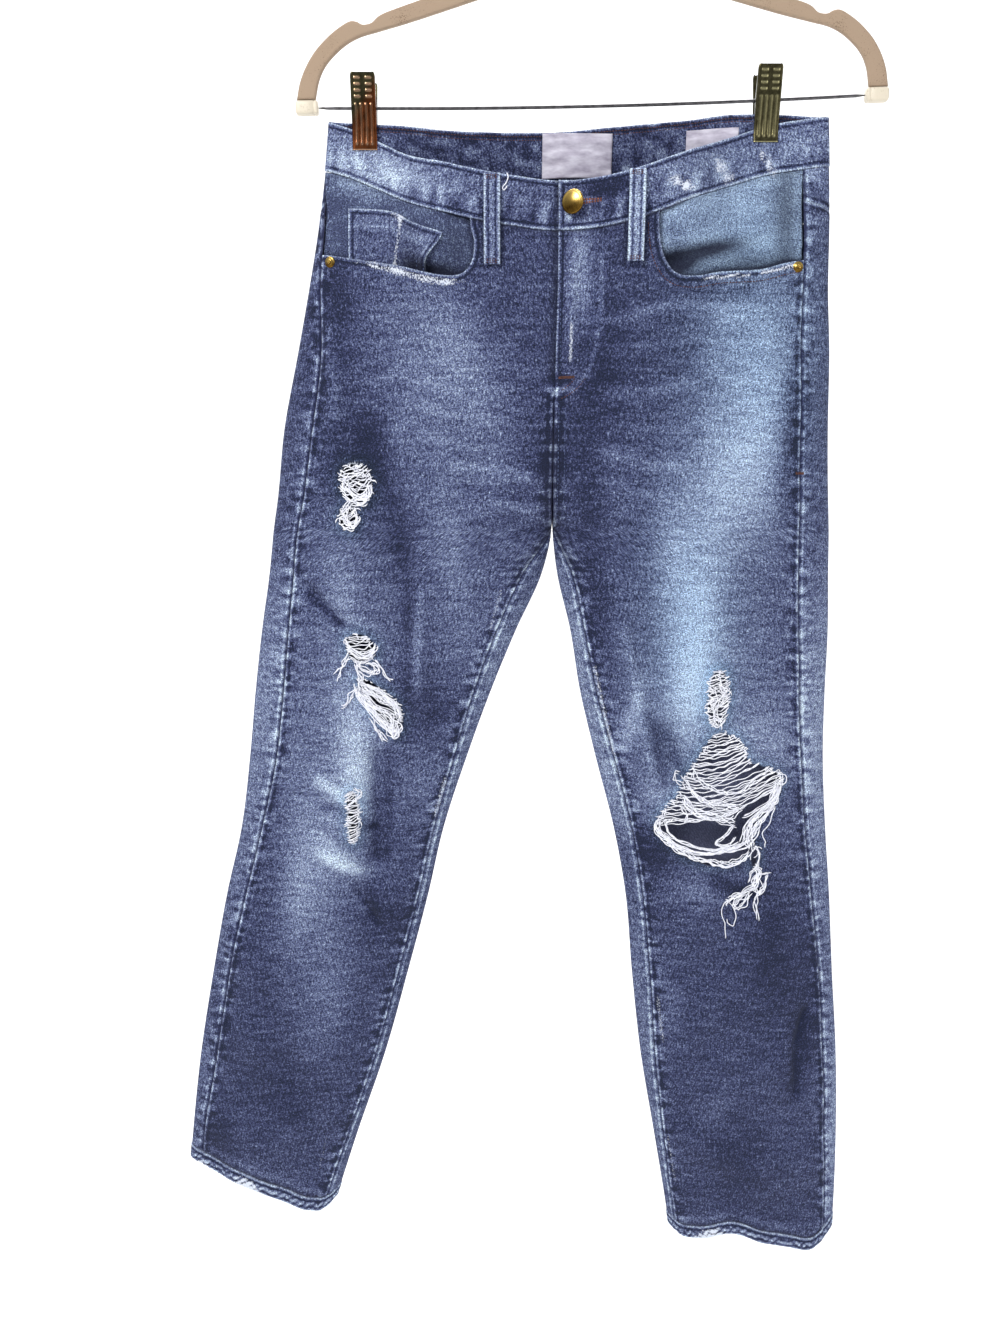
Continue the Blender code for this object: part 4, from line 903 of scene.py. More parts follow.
def back_turn(side, share, height):
    """Turn across the back panel, from the side seam round the outer fold to its inner edge."""
    seam = seam_turn(side, "side_seam", height)
    inner = inner_turn(side, height) + 2 * math.pi
    inner = inner - turn_step(side, inner, height, PANEL_GAP / 2)
    seam = seam + turn_step(side, seam, height, PANEL_GAP / 2)
    return seam + (inner - seam) * share


def painted_round(turn, points, strip=0.0, **extra):
    """The wash of cloth that wraps round the folds: the front's gives way to the back's at each of them."""
    x, height = points[..., 0], points[..., 2]
    behind = ease((turn - math.pi / 2 + 0.3) / 0.6) * (1 - ease((turn - 1.5 * math.pi + 0.3) / 0.6))
    front = painted("front", x, height, **extra)
    front[..., 0] += strip
    back = painted("back", x, height, **extra)
    return front + (back - front) * behind[..., None]


shares = panel_shares(80)
for side, way in OUTWARDS.items():
    low, high = panel_edges(side, shares, back_turn)
    side_yoke = CROTCH_HEIGHT + (high - CROTCH_HEIGHT) * YOKE_SIDE
    yoke = side_yoke + (high - YOKE_DROP - side_yoke) * shares ** 0.8
    above = yoke + YOKE_GAP
    leg = spaced(NEAR_HEM, CROTCH_HEIGHT, 3.4, 3.4, 0, 1)
    panel_rows = panel_heights(low, yoke, leg, np.linspace(0, 1, 66))
    yoke_rows = above + (high - yoke - YOKE_GAP) * np.linspace(0, 1, 26)[:, None]
    for name, rows, flat, area in ((side + "_back", panel_rows, (0.340, 0.915), 0.245),
                                   (side + "_yoke", yoke_rows, (0.225, 0.075), 0.0107)):
        turn = back_turn(side, shares, rows)
        from_side, from_inner = along_rows(stack(*skin(side, turn, rows)))
        from_yoke = yoke - rows
        felled = 0.55 * ease((8.5 - from_yoke) / 1.5) * (from_yoke > 0) - 0.3 * bump(from_yoke - 9.2, 0.9)
        centre = 0.55 * ease((8.5 - from_inner) / 1.5) * (side == "right")
        centre = centre * ease((rows - CROTCH_HEIGHT - 10) / 20)
        puckered = 0.25 * pucker(rows, from_yoke) * bump(from_yoke, 12)
        points = stack(*skin(side, turn, rows, felled + centre + puckered))
        darker = (0.14 if side == "right" else 0.24) - 0.12 * ease((points[..., 2] + 640) / 120)
        # painted shade beside the inseam, down the legs
        wash = painted_round(turn, points, strip=darker, shade=0.10 * bump(from_inner, 20) * (rows < -560))
        seams = np.stack([-from_side, -from_inner, np.abs(from_yoke)], axis=-1)
        cloth(name + "_cloth", points, PANEL_WALL, wash, face_denim, [name], seams=seams,
              outward=way)


# ---------------------------------------------------------------- pocket facings and coin pocket
# The cloth seen inside each front mouth: a facing cut in the same denim, bleached paler, and on the right a
# coin pocket with a turned top, stitched down on three sides. The mouth gapes at its lower inner corner.
FACING_IN = -(PANEL_WALL + 2 * LAY_GAP + 1.4)
FACING_LOW = -366.0
# x of each facing's inner edge and of the mouth's end, how much paler it is and how much it is tinted
FACINGS = {"right": (-78.0, -92.0, -0.16, 0.06), "left": (44.0, 56.0, 0.20, 0.2)}
# soft folds drawn only as paler and darker patches: painted light and shade
painted_fold_shading = unevenness(71, 30)
# hollows in each facing: centre (x, height), half width, half height, lean in degrees, depth and the darkness
# of the painted shade in it
GAPES = {
    "right": [(-120, -347, 24, 8, -8, 7.0, 1.3), (-99, -330, 12, 17, 0, 3.0, 0.4),
              (-150, -352, 30, 7, -6, 2.0, 0.4)],
    "left": [(66, -340, 15, 8, 0, 8.0, 1.3), (92, -330, 29, 6, 12, 4.0, 1.0),
             (124, -344, 44, 13, 2, 1.0, 0.72), (152, -302, 10, 46, 0, 1.0, 0.60)],
}
COIN_WALL = 1.0


def patch(side, layer, x_low, x_high, low, high, out, columns, rows):
    """Points over one layer between two x and two edges, moved out by a distance or by out(x, height)."""
    x = np.linspace(x_low, x_high, columns + 1)[None, :] + np.zeros((rows + 1, 1))
    bottom, top = low(x[0]) + 0 * x[0], high(x[0]) + 0 * x[0]
    height = bottom + (top - bottom) * np.linspace(0, 1, rows + 1)[:, None]
    lifted = out(x, height) if callable(out) else out
    return stack(*skin(side, turn_at_x(side, layer, x, height), height, lifted))


def gaping(side, x, height):
    """How deep the hollows of a facing are, and how dark the painted shade in them is."""
    depth, dark = 0.0, 0.0
    for *spot, deep, darkness in GAPES[side]:
        depth = depth + deep * round_spot(x, height, *spot)
        dark = dark + darkness * round_spot(x, height, *spot)
    return depth, dark


def facing_in(x, height, side):
    """How far the facing stands behind the front panel: sunk at the gape, level at the side seam."""
    mouth_end = FACINGS[side][1]
    below_band = ease((waist_height("front", x) - BAND_HEIGHT - height) / 34)
    past_mouth = 1 - ease((np.abs(x - mouth_end) - 4) / 22)
    past_mouth = np.where(np.abs(x) < abs(mouth_end), 1.0, past_mouth)
    return FACING_IN * np.maximum(below_band, past_mouth) - gaping(side, x, height)[0]


def facing_turn(side, share, height, end):
    """Turn across a facing, from just inside the side seam to a fixed x."""
    seam = seam_turn(side, "side_seam", height)
    seam = seam - turn_step(side, seam, height, PANEL_GAP)
    return seam + (turn_at_x(side, "front", end, height) - seam) * share


def from_edges(points):
    """Distance from the nearest edge of a four-sided piece."""
    return np.min([*along_rows(points), *up_columns(points)], axis=0)


def edge_only(distance):
    """Seam distances for a piece whose own edges are all that shows."""
    return np.stack([np.full(distance.shape, FAR), np.full(distance.shape, FAR), distance], axis=-1)


bleached_denim = denim("bleached_denim", ("393f5c", "58627f", "7b88a1", "9aaabf", "bccbd7"))

for side, (end, mouth_end, paler, tinted) in FACINGS.items():
    share = np.linspace(0, 1, 92)[None, :]
    top_edge = edge_by_turn(
        lambda turn, height: waist_height("front", skin(side, turn, height)[0]) - BAND_HEIGHT - 0.6,
        lambda height: facing_turn(side, share[0], height, end), NEAR_BAND)
    height = FACING_LOW + (top_edge - FACING_LOW) * np.linspace(0, 1, 66)[:, None]
    turn = facing_turn(side, share, height, end)
    x = skin(side, turn, height)[0]
    points = stack(*skin(side, turn, height, facing_in(x, height, side)))
    x, z = points[..., 0], points[..., 2]
    # painted shade: just below the waistband, in the hollows and along the mouth's edge
    painted_below = ease((z - waist_height("front", x) + BAND_HEIGHT + 7) / 7)
    from_mouth = from_outline(mouth_line[side], x, z)[0]
    shade = 0.25 * painted_below + gaping(side, x, z)[1] + 0.55 * bump(from_mouth, 2.5)
    wash = painted("front", x, z, fade=paler + 0.06 * painted_fold_shading(x, z), tint=tinted,
                   shade=np.clip(shade, 0, 0.94))
    name = side + "_pocket_facing"
    cloth(name + "_cloth", points, PANEL_WALL, wash, bleached_denim, [name],
          outward=-OUTWARDS[side])


def coin_pocket_out(x, height):
    """How far the coin pocket stands out: it lies on the facing, creased down its middle, one side up."""
    lying = facing_in(x, height, "right") + PANEL_WALL / 2 + LAY_GAP + 0.1 + COIN_WALL / 2
    return lying + 0.5 * bump(x + 145, 5) + 2.4 * bump(x + 112, 9) * ease((-316 - height) / 18)


COIN_POCKET_TOP = [(-182, -299), (-165, -300), (-147, -303), (-132, -311), (-109, -319)]
points = patch("right", "front", -182.0, -110.0, lambda x: -362.0,
               lambda x: smooth_curve(COIN_POCKET_TOP, x), coin_pocket_out, 72, 60)
x, z = points[..., 0], points[..., 2]
first, last = along_rows(points)
below_top = up_columns(points)[1]
hemmed = (below_top < 13) | (first < 8) | (last < 8)
points[..., 1] -= 0.35 * ease((13.5 - below_top) / 1.2)
points[..., 0] -= 13 * ease((-318 - z) / 22) * ease((x + 138) / 28)
crease = 0.46 * bump(x + 144 - (z + 325) * 0.15, 2.2) * ease((z + 352) / 12)
# painted shade falls in the hollow at the pocket's lower inner corner and in a band beside its worn ridge
wash = painted("front", x, z, fade=0.06 + 0.12 * hemmed + 0.10 * bump(below_top - 14, 3),
               wear=crease + 0.24 * bump(below_top, 2.5) + 0.3 * bump(x + 146, 6) * bump(below_top - 3, 4),
               shade=np.clip(1.1 * round_spot(x, z, -126, -346, 17, 10, -20) + 0.2 * bump(x + 136, 8),
                             0, MOST_SHADE))
cloth("coin_pocket_cloth", points, COIN_WALL, wash, face_denim, ["coin_pocket"],
      seams=edge_only(np.minimum(np.minimum(first, last), below_top)))


# ---------------------------------------------------------------- back pockets
# Two patch pockets with pointed bottoms, in the same denim. The tops are turned twice and the sides stitched
# down with two plain rows.
BACK_POCKETS = {"right": (-172.0, -56.0), "left": (132.0, 12.0)}     # x of the outer and the inner side
POCKET_TOP = -352.0       # height at the outer side
POCKET_DROP = 16.0        # how much lower it is at the inner one
POCKET_BOTTOM = -494.0
POCKET_POINT = 20.0
POCKET_HEM = 19.0
for side, (outer_x, inner_x) in BACK_POCKETS.items():
    middle_x = (outer_x + inner_x) / 2
    points = patch(side, "back", outer_x, inner_x,
                   lambda x: POCKET_BOTTOM + POCKET_POINT * np.abs(x - middle_x) / abs(outer_x - middle_x),
                   lambda x: POCKET_TOP - POCKET_DROP * (x - outer_x) / (inner_x - outer_x),
                   lambda x, height: PANEL_WALL + LAY_GAP + 0.3 + 0.5 * slack(height, x), 76, 84)
    x, z = points[..., 0], points[..., 2]
    edge = from_edges(points)
    below_top = up_columns(points)[1]
    points[..., 1] += 0.5 * ease((POCKET_HEM - below_top) / 1.4) - 0.3 * bump(edge - 4, 1.0)
    points[..., 1] += 0.25 * pucker(x, z) * bump(edge, 8)
    wash = painted("back", x, z, fade=0.10 * bump(edge, 5) + 0.10 * bump(below_top - POCKET_HEM, 3),
                   wear=0.34 * bump(edge, 2.4) * bump(z + 482, 24) + 0.30 * bump(below_top, 2))
    name = side + "_back_pocket"
    cloth(name + "_cloth", points, PANEL_WALL, wash, face_denim, [name], seams=edge_only(edge),
          outward=OUTWARDS[side])


# ---------------------------------------------------------------- waistband
# One strip of denim folded over itself, 35 mm deep, shaped to dip at the front, its left end on top of its
# right at the fly. Its fold and its seam are rubbed pale, and the left clip has scraped it in three places.
BAND_LAP = 36.0
BAND_QUARTER = 62         # columns to each quarter of the waistband
CENTRE_SHADE = (-24.6, 2.2)     # x and half width of the painted shadow beside the lapped end
band_shares = np.concatenate([[0.0, 0.012, 0.035], np.linspace(0.08, 0.92, 14), [0.965, 0.988, 1.0]])
ROUNDED = np.array([[0.45], [0.85], [1.0]])     # how thick a folded edge is over its last three rows


def band_lift(x):
    """The waistband's left end stands off its right end where they lap."""
    return (BAND_WALL + LAY_GAP) * (1 - ease((x - 16) / 30))


def band_relief(x, height, top):
    """Stitching pulls the band in near both edges, and it is scored lengthwise and puckered between."""
    from_top = top - height
    from_low = BAND_HEIGHT - from_top
    return (-0.35 * bump(from_top - 2.6, 1.1) - 0.40 * bump(from_low - 2.6, 1.1)
            + 0.30 * pucker(x * 0.9, height * 0.35) * bump(from_low - 5, 9)
            + 0.18 * pucker(x * 0.8, height * 0.35) * bump(from_top - 4, 6))


def band_strip(layer, side, turn, extra=0.0):
    """Columns of the waistband from its lower to its upper edge, moved sideways by extra."""
    def edge(at, height):
        return waist_height(layer, skin(side, at, height)[0] + extra)

    def turn_at(height):
        return turn + 0 * height

    top = edge_by_turn(edge, turn_at, guess=-250.0)
    bottom = edge_by_turn(lambda at, height: edge(at, height) - BAND_HEIGHT, turn_at, guess=-290.0)
    height = bottom + (top - bottom) * band_shares[:, None]
    x = skin(side, turn + 0 * height, height)[0]
    held = 1 - clip_hold(x, height)
    x, y, z = skin(side, turn + 0 * height, height, band_relief(x + extra, height, top) * held)
    x = x + extra
    if side == "left" and layer == "front":
        y = y - band_lift(x)
    return stack(x, y, z)


quarter = math.pi / 2
around = np.linspace(0, 1, BAND_QUARTER + 1)
band_grid = np.concatenate([
    band_strip("front", "left", -quarter + math.pi * around),
    band_strip("back", "left", quarter + math.pi * around)[:, 1:],
    band_strip("back", "right", 3 * quarter - math.pi * around)[:, 1:],
    band_strip("front", "right", quarter - math.pi * around)[:, 1:],
    band_strip("front", "right", np.full(12, -quarter), np.linspace(0, BAND_LAP, 13)[1:]),
], axis=1)
BACK_START = BAND_QUARTER
BACK_END = 3 * BAND_QUARTER
columns = np.arange(band_grid.shape[1])
at_back = ease((columns - BACK_START + 3) / 6) * (1 - ease((columns - BACK_END + 3) / 6))
x, z = band_grid[..., 0], band_grid[..., 2]
streaks = pucker(x * 1.1, z * 0.22)
front_wash = painted("front", x, z, fade=0.10 + 0.16 * streaks * bump(band_shares[:, None] - 0.3, 0.3))
back_wash = painted("back", x, z, fade=0.04 + 0.08 * streaks)
front_wash[..., 2] += 0.55 * bump(x - CENTRE_SHADE[0], CENTRE_SHADE[1]) * (columns > BACK_END)
wash = front_wash + (back_wash - front_wash) * at_back[None, :, None]
inner_wash = wash.copy()
inner_wash[..., 0] = 0.26 + 0.10 * unevenness(31, 16)(x, z) + 0.05 * streaks
inner_wash[..., 1] = 0.0
# a little painted shade over the whole inside of the band
inner_wash[..., 2] = 0.06
from_fold = (1 - band_shares[:, None]) * BAND_HEIGHT + 0 * x
edge = np.min([from_fold, BAND_HEIGHT - from_fold, along_rows(band_grid)[0]], axis=0)
walls = np.full(band_grid.shape[:2], BAND_WALL)
walls[:3] *= ROUNDED
walls[-3:] *= ROUNDED[::-1]
cloth("waistband_cloth", band_grid, walls, wash, face_denim, ["waistband"],
      seams=edge_only(edge), inner_wash=inner_wash)


# ---------------------------------------------------------------- belt loops
# Five strips 12 mm wide, folded in three with two rows of stitching, so both edges stand as pale ridges.
# Each is turned under at both ends and bartacked in rust thread.
LOOP_WALL = 1.8
LOOP_WIDTH = 12.0
LOOP_HEIGHT = 64.0
LOOP_BOW = 2.4
LOOP_COLUMNS, LOOP_ROWS = 14, 56
# side, layer, x of the middle and how pale each loop is
BELT_LOOPS = [("right", "front", -72.5, 0.27), ("left", "front", 35.5, 0.45),
              ("right", "back", -124.0, 0.25), ("left", "back", 86.0, 0.25), ("left", "back", -14.0, 0.25)]
for number, (side, layer, centre, paler) in enumerate(BELT_LOOPS, start=1):
    top = float(waist_height(layer, centre)) - 1.5
    points = patch(side, layer, centre - LOOP_WIDTH / 2, centre + LOOP_WIDTH / 2,
                   lambda x: top - LOOP_HEIGHT, lambda x: top, BAND_WALL / 2 + LAY_GAP + LOOP_WALL / 2,
                   LOOP_COLUMNS, LOOP_ROWS)
    share = np.linspace(0, 1, LOOP_ROWS + 1)[:, None]
    across = np.linspace(-1, 1, LOOP_COLUMNS + 1)[None, :]
    aside = np.abs(across)
    standing = float(band_lift(centre - LOOP_WIDTH / 2)) if (side, layer) == ("left", "front") else 0.0
    ends = np.maximum(bump(share, 0.05), bump(share - 1, 0.05))
    ridged = 0.42 * bump(aside - 0.80, 0.16) - 0.30 * bump(aside - 0.52, 0.12) + 0.15 * bump(across, 0.3)
    facing = 1 if layer == "front" else -1
    points[..., 1] -= facing * (LOOP_BOW * np.sin(math.pi * share) + standing + ridged + 0.5 * ends)
    x, z = points[..., 0], points[..., 2]
    edge = (1 - aside) * LOOP_WIDTH / 2 + 0 * x
    wash = painted(layer, x, z, fade=paler - 0.02 * bump(across, 0.25),
                   wear=0.04 * bump(aside - 0.86, 0.14) + 0.22 * ends)
    walls = np.full(x.shape, LOOP_WALL)
    walls[:, [0, -1]] *= 0.5
    walls[[0, -1]] *= 0.6
    name = "belt_loop_%d" % number
    cloth(name + "_cloth", points, walls, wash, face_denim, [name], seams=edge_only(edge),
          outward=facing)


# ---------------------------------------------------------------- hems
# The legs end in a narrow hem turned twice, 13 mm deep. Its needle row drags the cloth aslant, which leaves
# the twisted ridges that wear pale all round the lower edge.
HEM_TWIST = 6.5           # millimetres round the leg from one ridge to the next
HEM_TEAR = {"right": -302.0, "left": 132.0}     # x where the front of each hem is frayed
up = np.concatenate([[0.0, 0.03, 0.09], np.linspace(0.2, 1.0, 9)])[:, None] * HEM_HEIGHT
ridge_place = bump(up - 5, 6)
for side, way in OUTWARDS.items():
    turn = np.linspace(0, 2 * math.pi, 150, endpoint=False) - math.pi / 2
    low = edge_by_turn(lambda at, height: hem_height(side, at, height),
                       lambda height: turn + 0 * height, NEAR_HEM)
    height = low + up
    plain = stack(*skin(side, turn + 0 * height, height))
    round_leg = along_rows(plain)[0]
    uneven = 1.4 * ripple(plain[..., 0], 3 * round_leg)
    twist = np.sin((round_leg + up * 0.9) * math.tau / HEM_TWIST + uneven)
    relief = 0.32 * twist * ridge_place - 0.3 * bump(up - 10.6, 1.2)
    points = stack(*skin(side, turn + 0 * height, height, relief))
    patches = ease(unevenness(41, 26)(points[..., 0], round_leg * 0.2) * 0.8 - 0.35)
    ridges = 0.5 + 0.5 * twist
    torn = bump(points[..., 0] - HEM_TEAR[side], 14) * (points[..., 1] < 0)
    wash = painted_round(turn + 0 * height, points,
                         fade=0.20 + 0.80 * (ridges - 0.3) * ridge_place - 0.2 * bump(up - 9, 2),
                         wear=(0.40 * patches + 0.22 + 0.3 * torn) * bump(up, 2.6)
                         + (0.42 * patches + 0.95 * torn) * (0.3 + 0.7 * ridges) * ridge_place)
    walls = np.full(height.shape, BAND_WALL)
    walls[:3] *= ROUNDED
    cloth(side + "_hem_cloth", points, walls, wash, face_denim, [side + "_hem"],
          seams=edge_only(np.minimum(up, np.abs(HEM_HEIGHT - up)) + 0 * height), ring=True, outward=way)


# ---------------------------------------------------------------- labels
# Two blank satin labels sewn inside the back of the waistband: woven polyester with a cool sheen, creased
# across where the band has bent.
def satin():
    """Woven polyester satin, 0.2 mm threads drawn 0.6 mm apart: bright, its gloss broken along the weft."""
    material, tree, shader = begin_material("polyester_satin")
    place = add(tree, "Attribute", attribute_name="cloth").outputs["Vector"]
    weft = add(tree, "TexWave", {"Vector": place, "Scale": WAVE_PERIOD / 0.6, "Distortion": 0.6},
               bands_direction="Y").outputs["Fac"]
    stretched = add(tree, "Mapping", {"Vector": place, "Scale": (1 / 16.0, 1 / 6.0, 1.0)}).outputs[0]
    crush = add(tree, "TexNoise", {"Vector": stretched, "Scale": 1.0, "Detail": 3.0,
                                   "Roughness": 0.6}).outputs["Fac"]
    # the crushes are painted darker and lighter, as their shade and sheen
    stops = [(0.32, "9a92a4"), (0.50, "bcb6c4"), (0.68, "d5d1dc")]
    tone = add(tree, "ValToRGB", {0: crush}, stops).outputs[0]
    rough = add(tree, "MapRange", {"Value": weft, "To Min": 0.32, "To Max": 0.48}).outputs[0]
    height = add(tree, "Math", {0: crush, 1: 3.0, 2: weft}, operation="MULTIPLY_ADD").outputs[0]
    raised = add(tree, "Bump", {"Height": height, "Strength": 0.4, "Distance": 0.3 * MM}).outputs[0]
    plug(tree, shader, {"Base Color": tone, "Roughness": rough, "Normal": raised, "Sheen Weight": 0.2})
    return material


LABEL_WALL = 1.0
LABEL_OUT = BAND_WALL / 2 + LAY_GAP + LABEL_WALL / 2 + 0.1     # from the waistband's middle surface
LABEL_ROWS, LABEL_COLUMNS = 34, 44
# x of both sides, and heights of the top and bottom edge
LABELS = {"neck_label": (-34.0, 19.5, -242.5, -273.5), "size_label": (76.0, 114.0, -240.5, -268.0)}
label_satin = satin()
band_back = band_grid[:, BACK_START:BACK_END + 1]
label_creases = unevenness(51, 13)
for name, (x_low, x_high, top, bottom) in LABELS.items():
    grid = np.zeros((LABEL_ROWS, LABEL_COLUMNS, 3))
    z = np.linspace(bottom, top, LABEL_ROWS)
    for column, x in enumerate(np.linspace(x_low, x_high, LABEL_COLUMNS)):
        at = np.interp(-x, -band_back[9, :, 0], np.arange(band_back.shape[1]))
        left = min(int(at), band_back.shape[1] - 2)
        line = band_back[:, left] + (band_back[:, left + 1] - band_back[:, left]) * (at - left)
        grid[:, column] = np.stack([x + 0 * z, np.interp(z, line[:, 2], line[:, 1]), z], axis=-1)
    grid[..., 1] -= LABEL_OUT
    inside = np.clip(from_edges(grid) / 6, 0, 1)
    grid[..., 1] -= 0.35 * inside * (1 + label_creases(grid[..., 0] * 0.25, grid[..., 2]))
    size = (round((x_high - x_low) * MM, 4), round((top - bottom) * MM, 4))
    cloth(name + "_cloth", grid, LABEL_WALL, np.zeros((LABEL_ROWS, LABEL_COLUMNS, 4)), label_satin,
          [name])


# ---------------------------------------------------------------- threads left in the rips
# Where the warp is torn away the white cotton weft still runs across from edge to edge. It hangs in slack
# loops, in clumps at the ends of a rip, and on the left knee in one long bundle under the open hole.
def yarn(name, light, dark, rough=0.9):
    """Spun cotton yarn: matt and fibrous, in a white with painted grey shade between the fibres. Its 0.5 mm
    twist is drawn as soft mottling."""
    material, tree, shader = begin_material(name)
    place = add(tree, "TexCoord").outputs["Object"]
    fibre = add(tree, "TexNoise", {"Vector": place, "Scale": 500.0, "Detail": 1.0}).outputs["Fac"]
    tone = add(tree, "ValToRGB", {0: fibre}, [(0.34, dark), (0.62, light)]).outputs[0]
    raised = add(tree, "Bump", {"Height": fibre, "Strength": 0.4, "Distance": 0.2 * MM}).outputs[0]
    plug(tree, shader, {"Base Color": tone, "Normal": raised, "Roughness": rough,
                        "Specular IOR Level": 0.25})
    return material


def loft(count, sides, base=0):
    """Faces that join rings of points one after another and close both ends."""
    faces = []
    for i in range(count - 1):
        low, high = base + i * sides, base + (i + 1) * sides
        for k in range(sides):
            after = (k + 1) % sides
            faces.append((low + k, low + after, high + after, high + k))
    first = range(base, base + sides)
    return faces + [tuple(first)[::-1], tuple(corner + (count - 1) * sides for corner in first)]


def tubes(name, paths, radius, sides, finish, stands_for=()):
    """Round strands along paths, all in one piece, pointed at both ends."""
    vertices, faces = [], []
    angles = (math.tau * np.arange(sides) / sides)[:, None]
    for path in paths:
        path = np.asarray(path, float)
        tangent = unit(np.gradient(path, axis=0))
        across = unit(np.cross(tangent, (0.15, 1.0, 0.25)))
        other = np.cross(tangent, across)
        faces += loft(len(path), sides, len(vertices) * sides)
        thick = np.full(len(path), radius)
        thick[[0, -1]] *= 0.35
        for point, first, second, size in zip(path, across, other, thick):
            vertices.append(point + size * (np.cos(angles) * first + np.sin(angles) * second))
    return make_mesh(name, np.concatenate(vertices), faces, finish, stands_for)


def curve_through(points, steps):
    """An open smooth curve through points, with evenly shared steps."""
    points = np.asarray(points, float)
    padded = np.concatenate([[2 * points[0] - points[1]], points, [2 * points[-1] - points[-2]]])
    place = np.linspace(0, len(points) - 1 - 1e-6, steps)
    start = place.astype(int)
    return between([padded[start + k] for k in range(4)], (place - start)[:, None])


# rip, spacing, sag at the middle, tilt across, crimp, and how far the strands run on over the cloth
WEFTS = [
    ("right", "thigh_upper", 1.3, 9.0, 0.10, 1.4, 2.0), ("right", "thigh_lower", 1.5, 7.0, 0.10, 1.2, 1.6),
    ("right", "above_knee", 1.5, 12.0, 0.05, 0.7, 2.2), ("right", "knee_slant", 1.9, 10.0, -0.60, 0.9, 2.0),
    ("right", "knee_slit", 1.7, 3.0, 0.25, 0.8, 3.6), ("left", "knee_upper", 1.6, 6.0, 0.15, 1.2, 3.6),
]

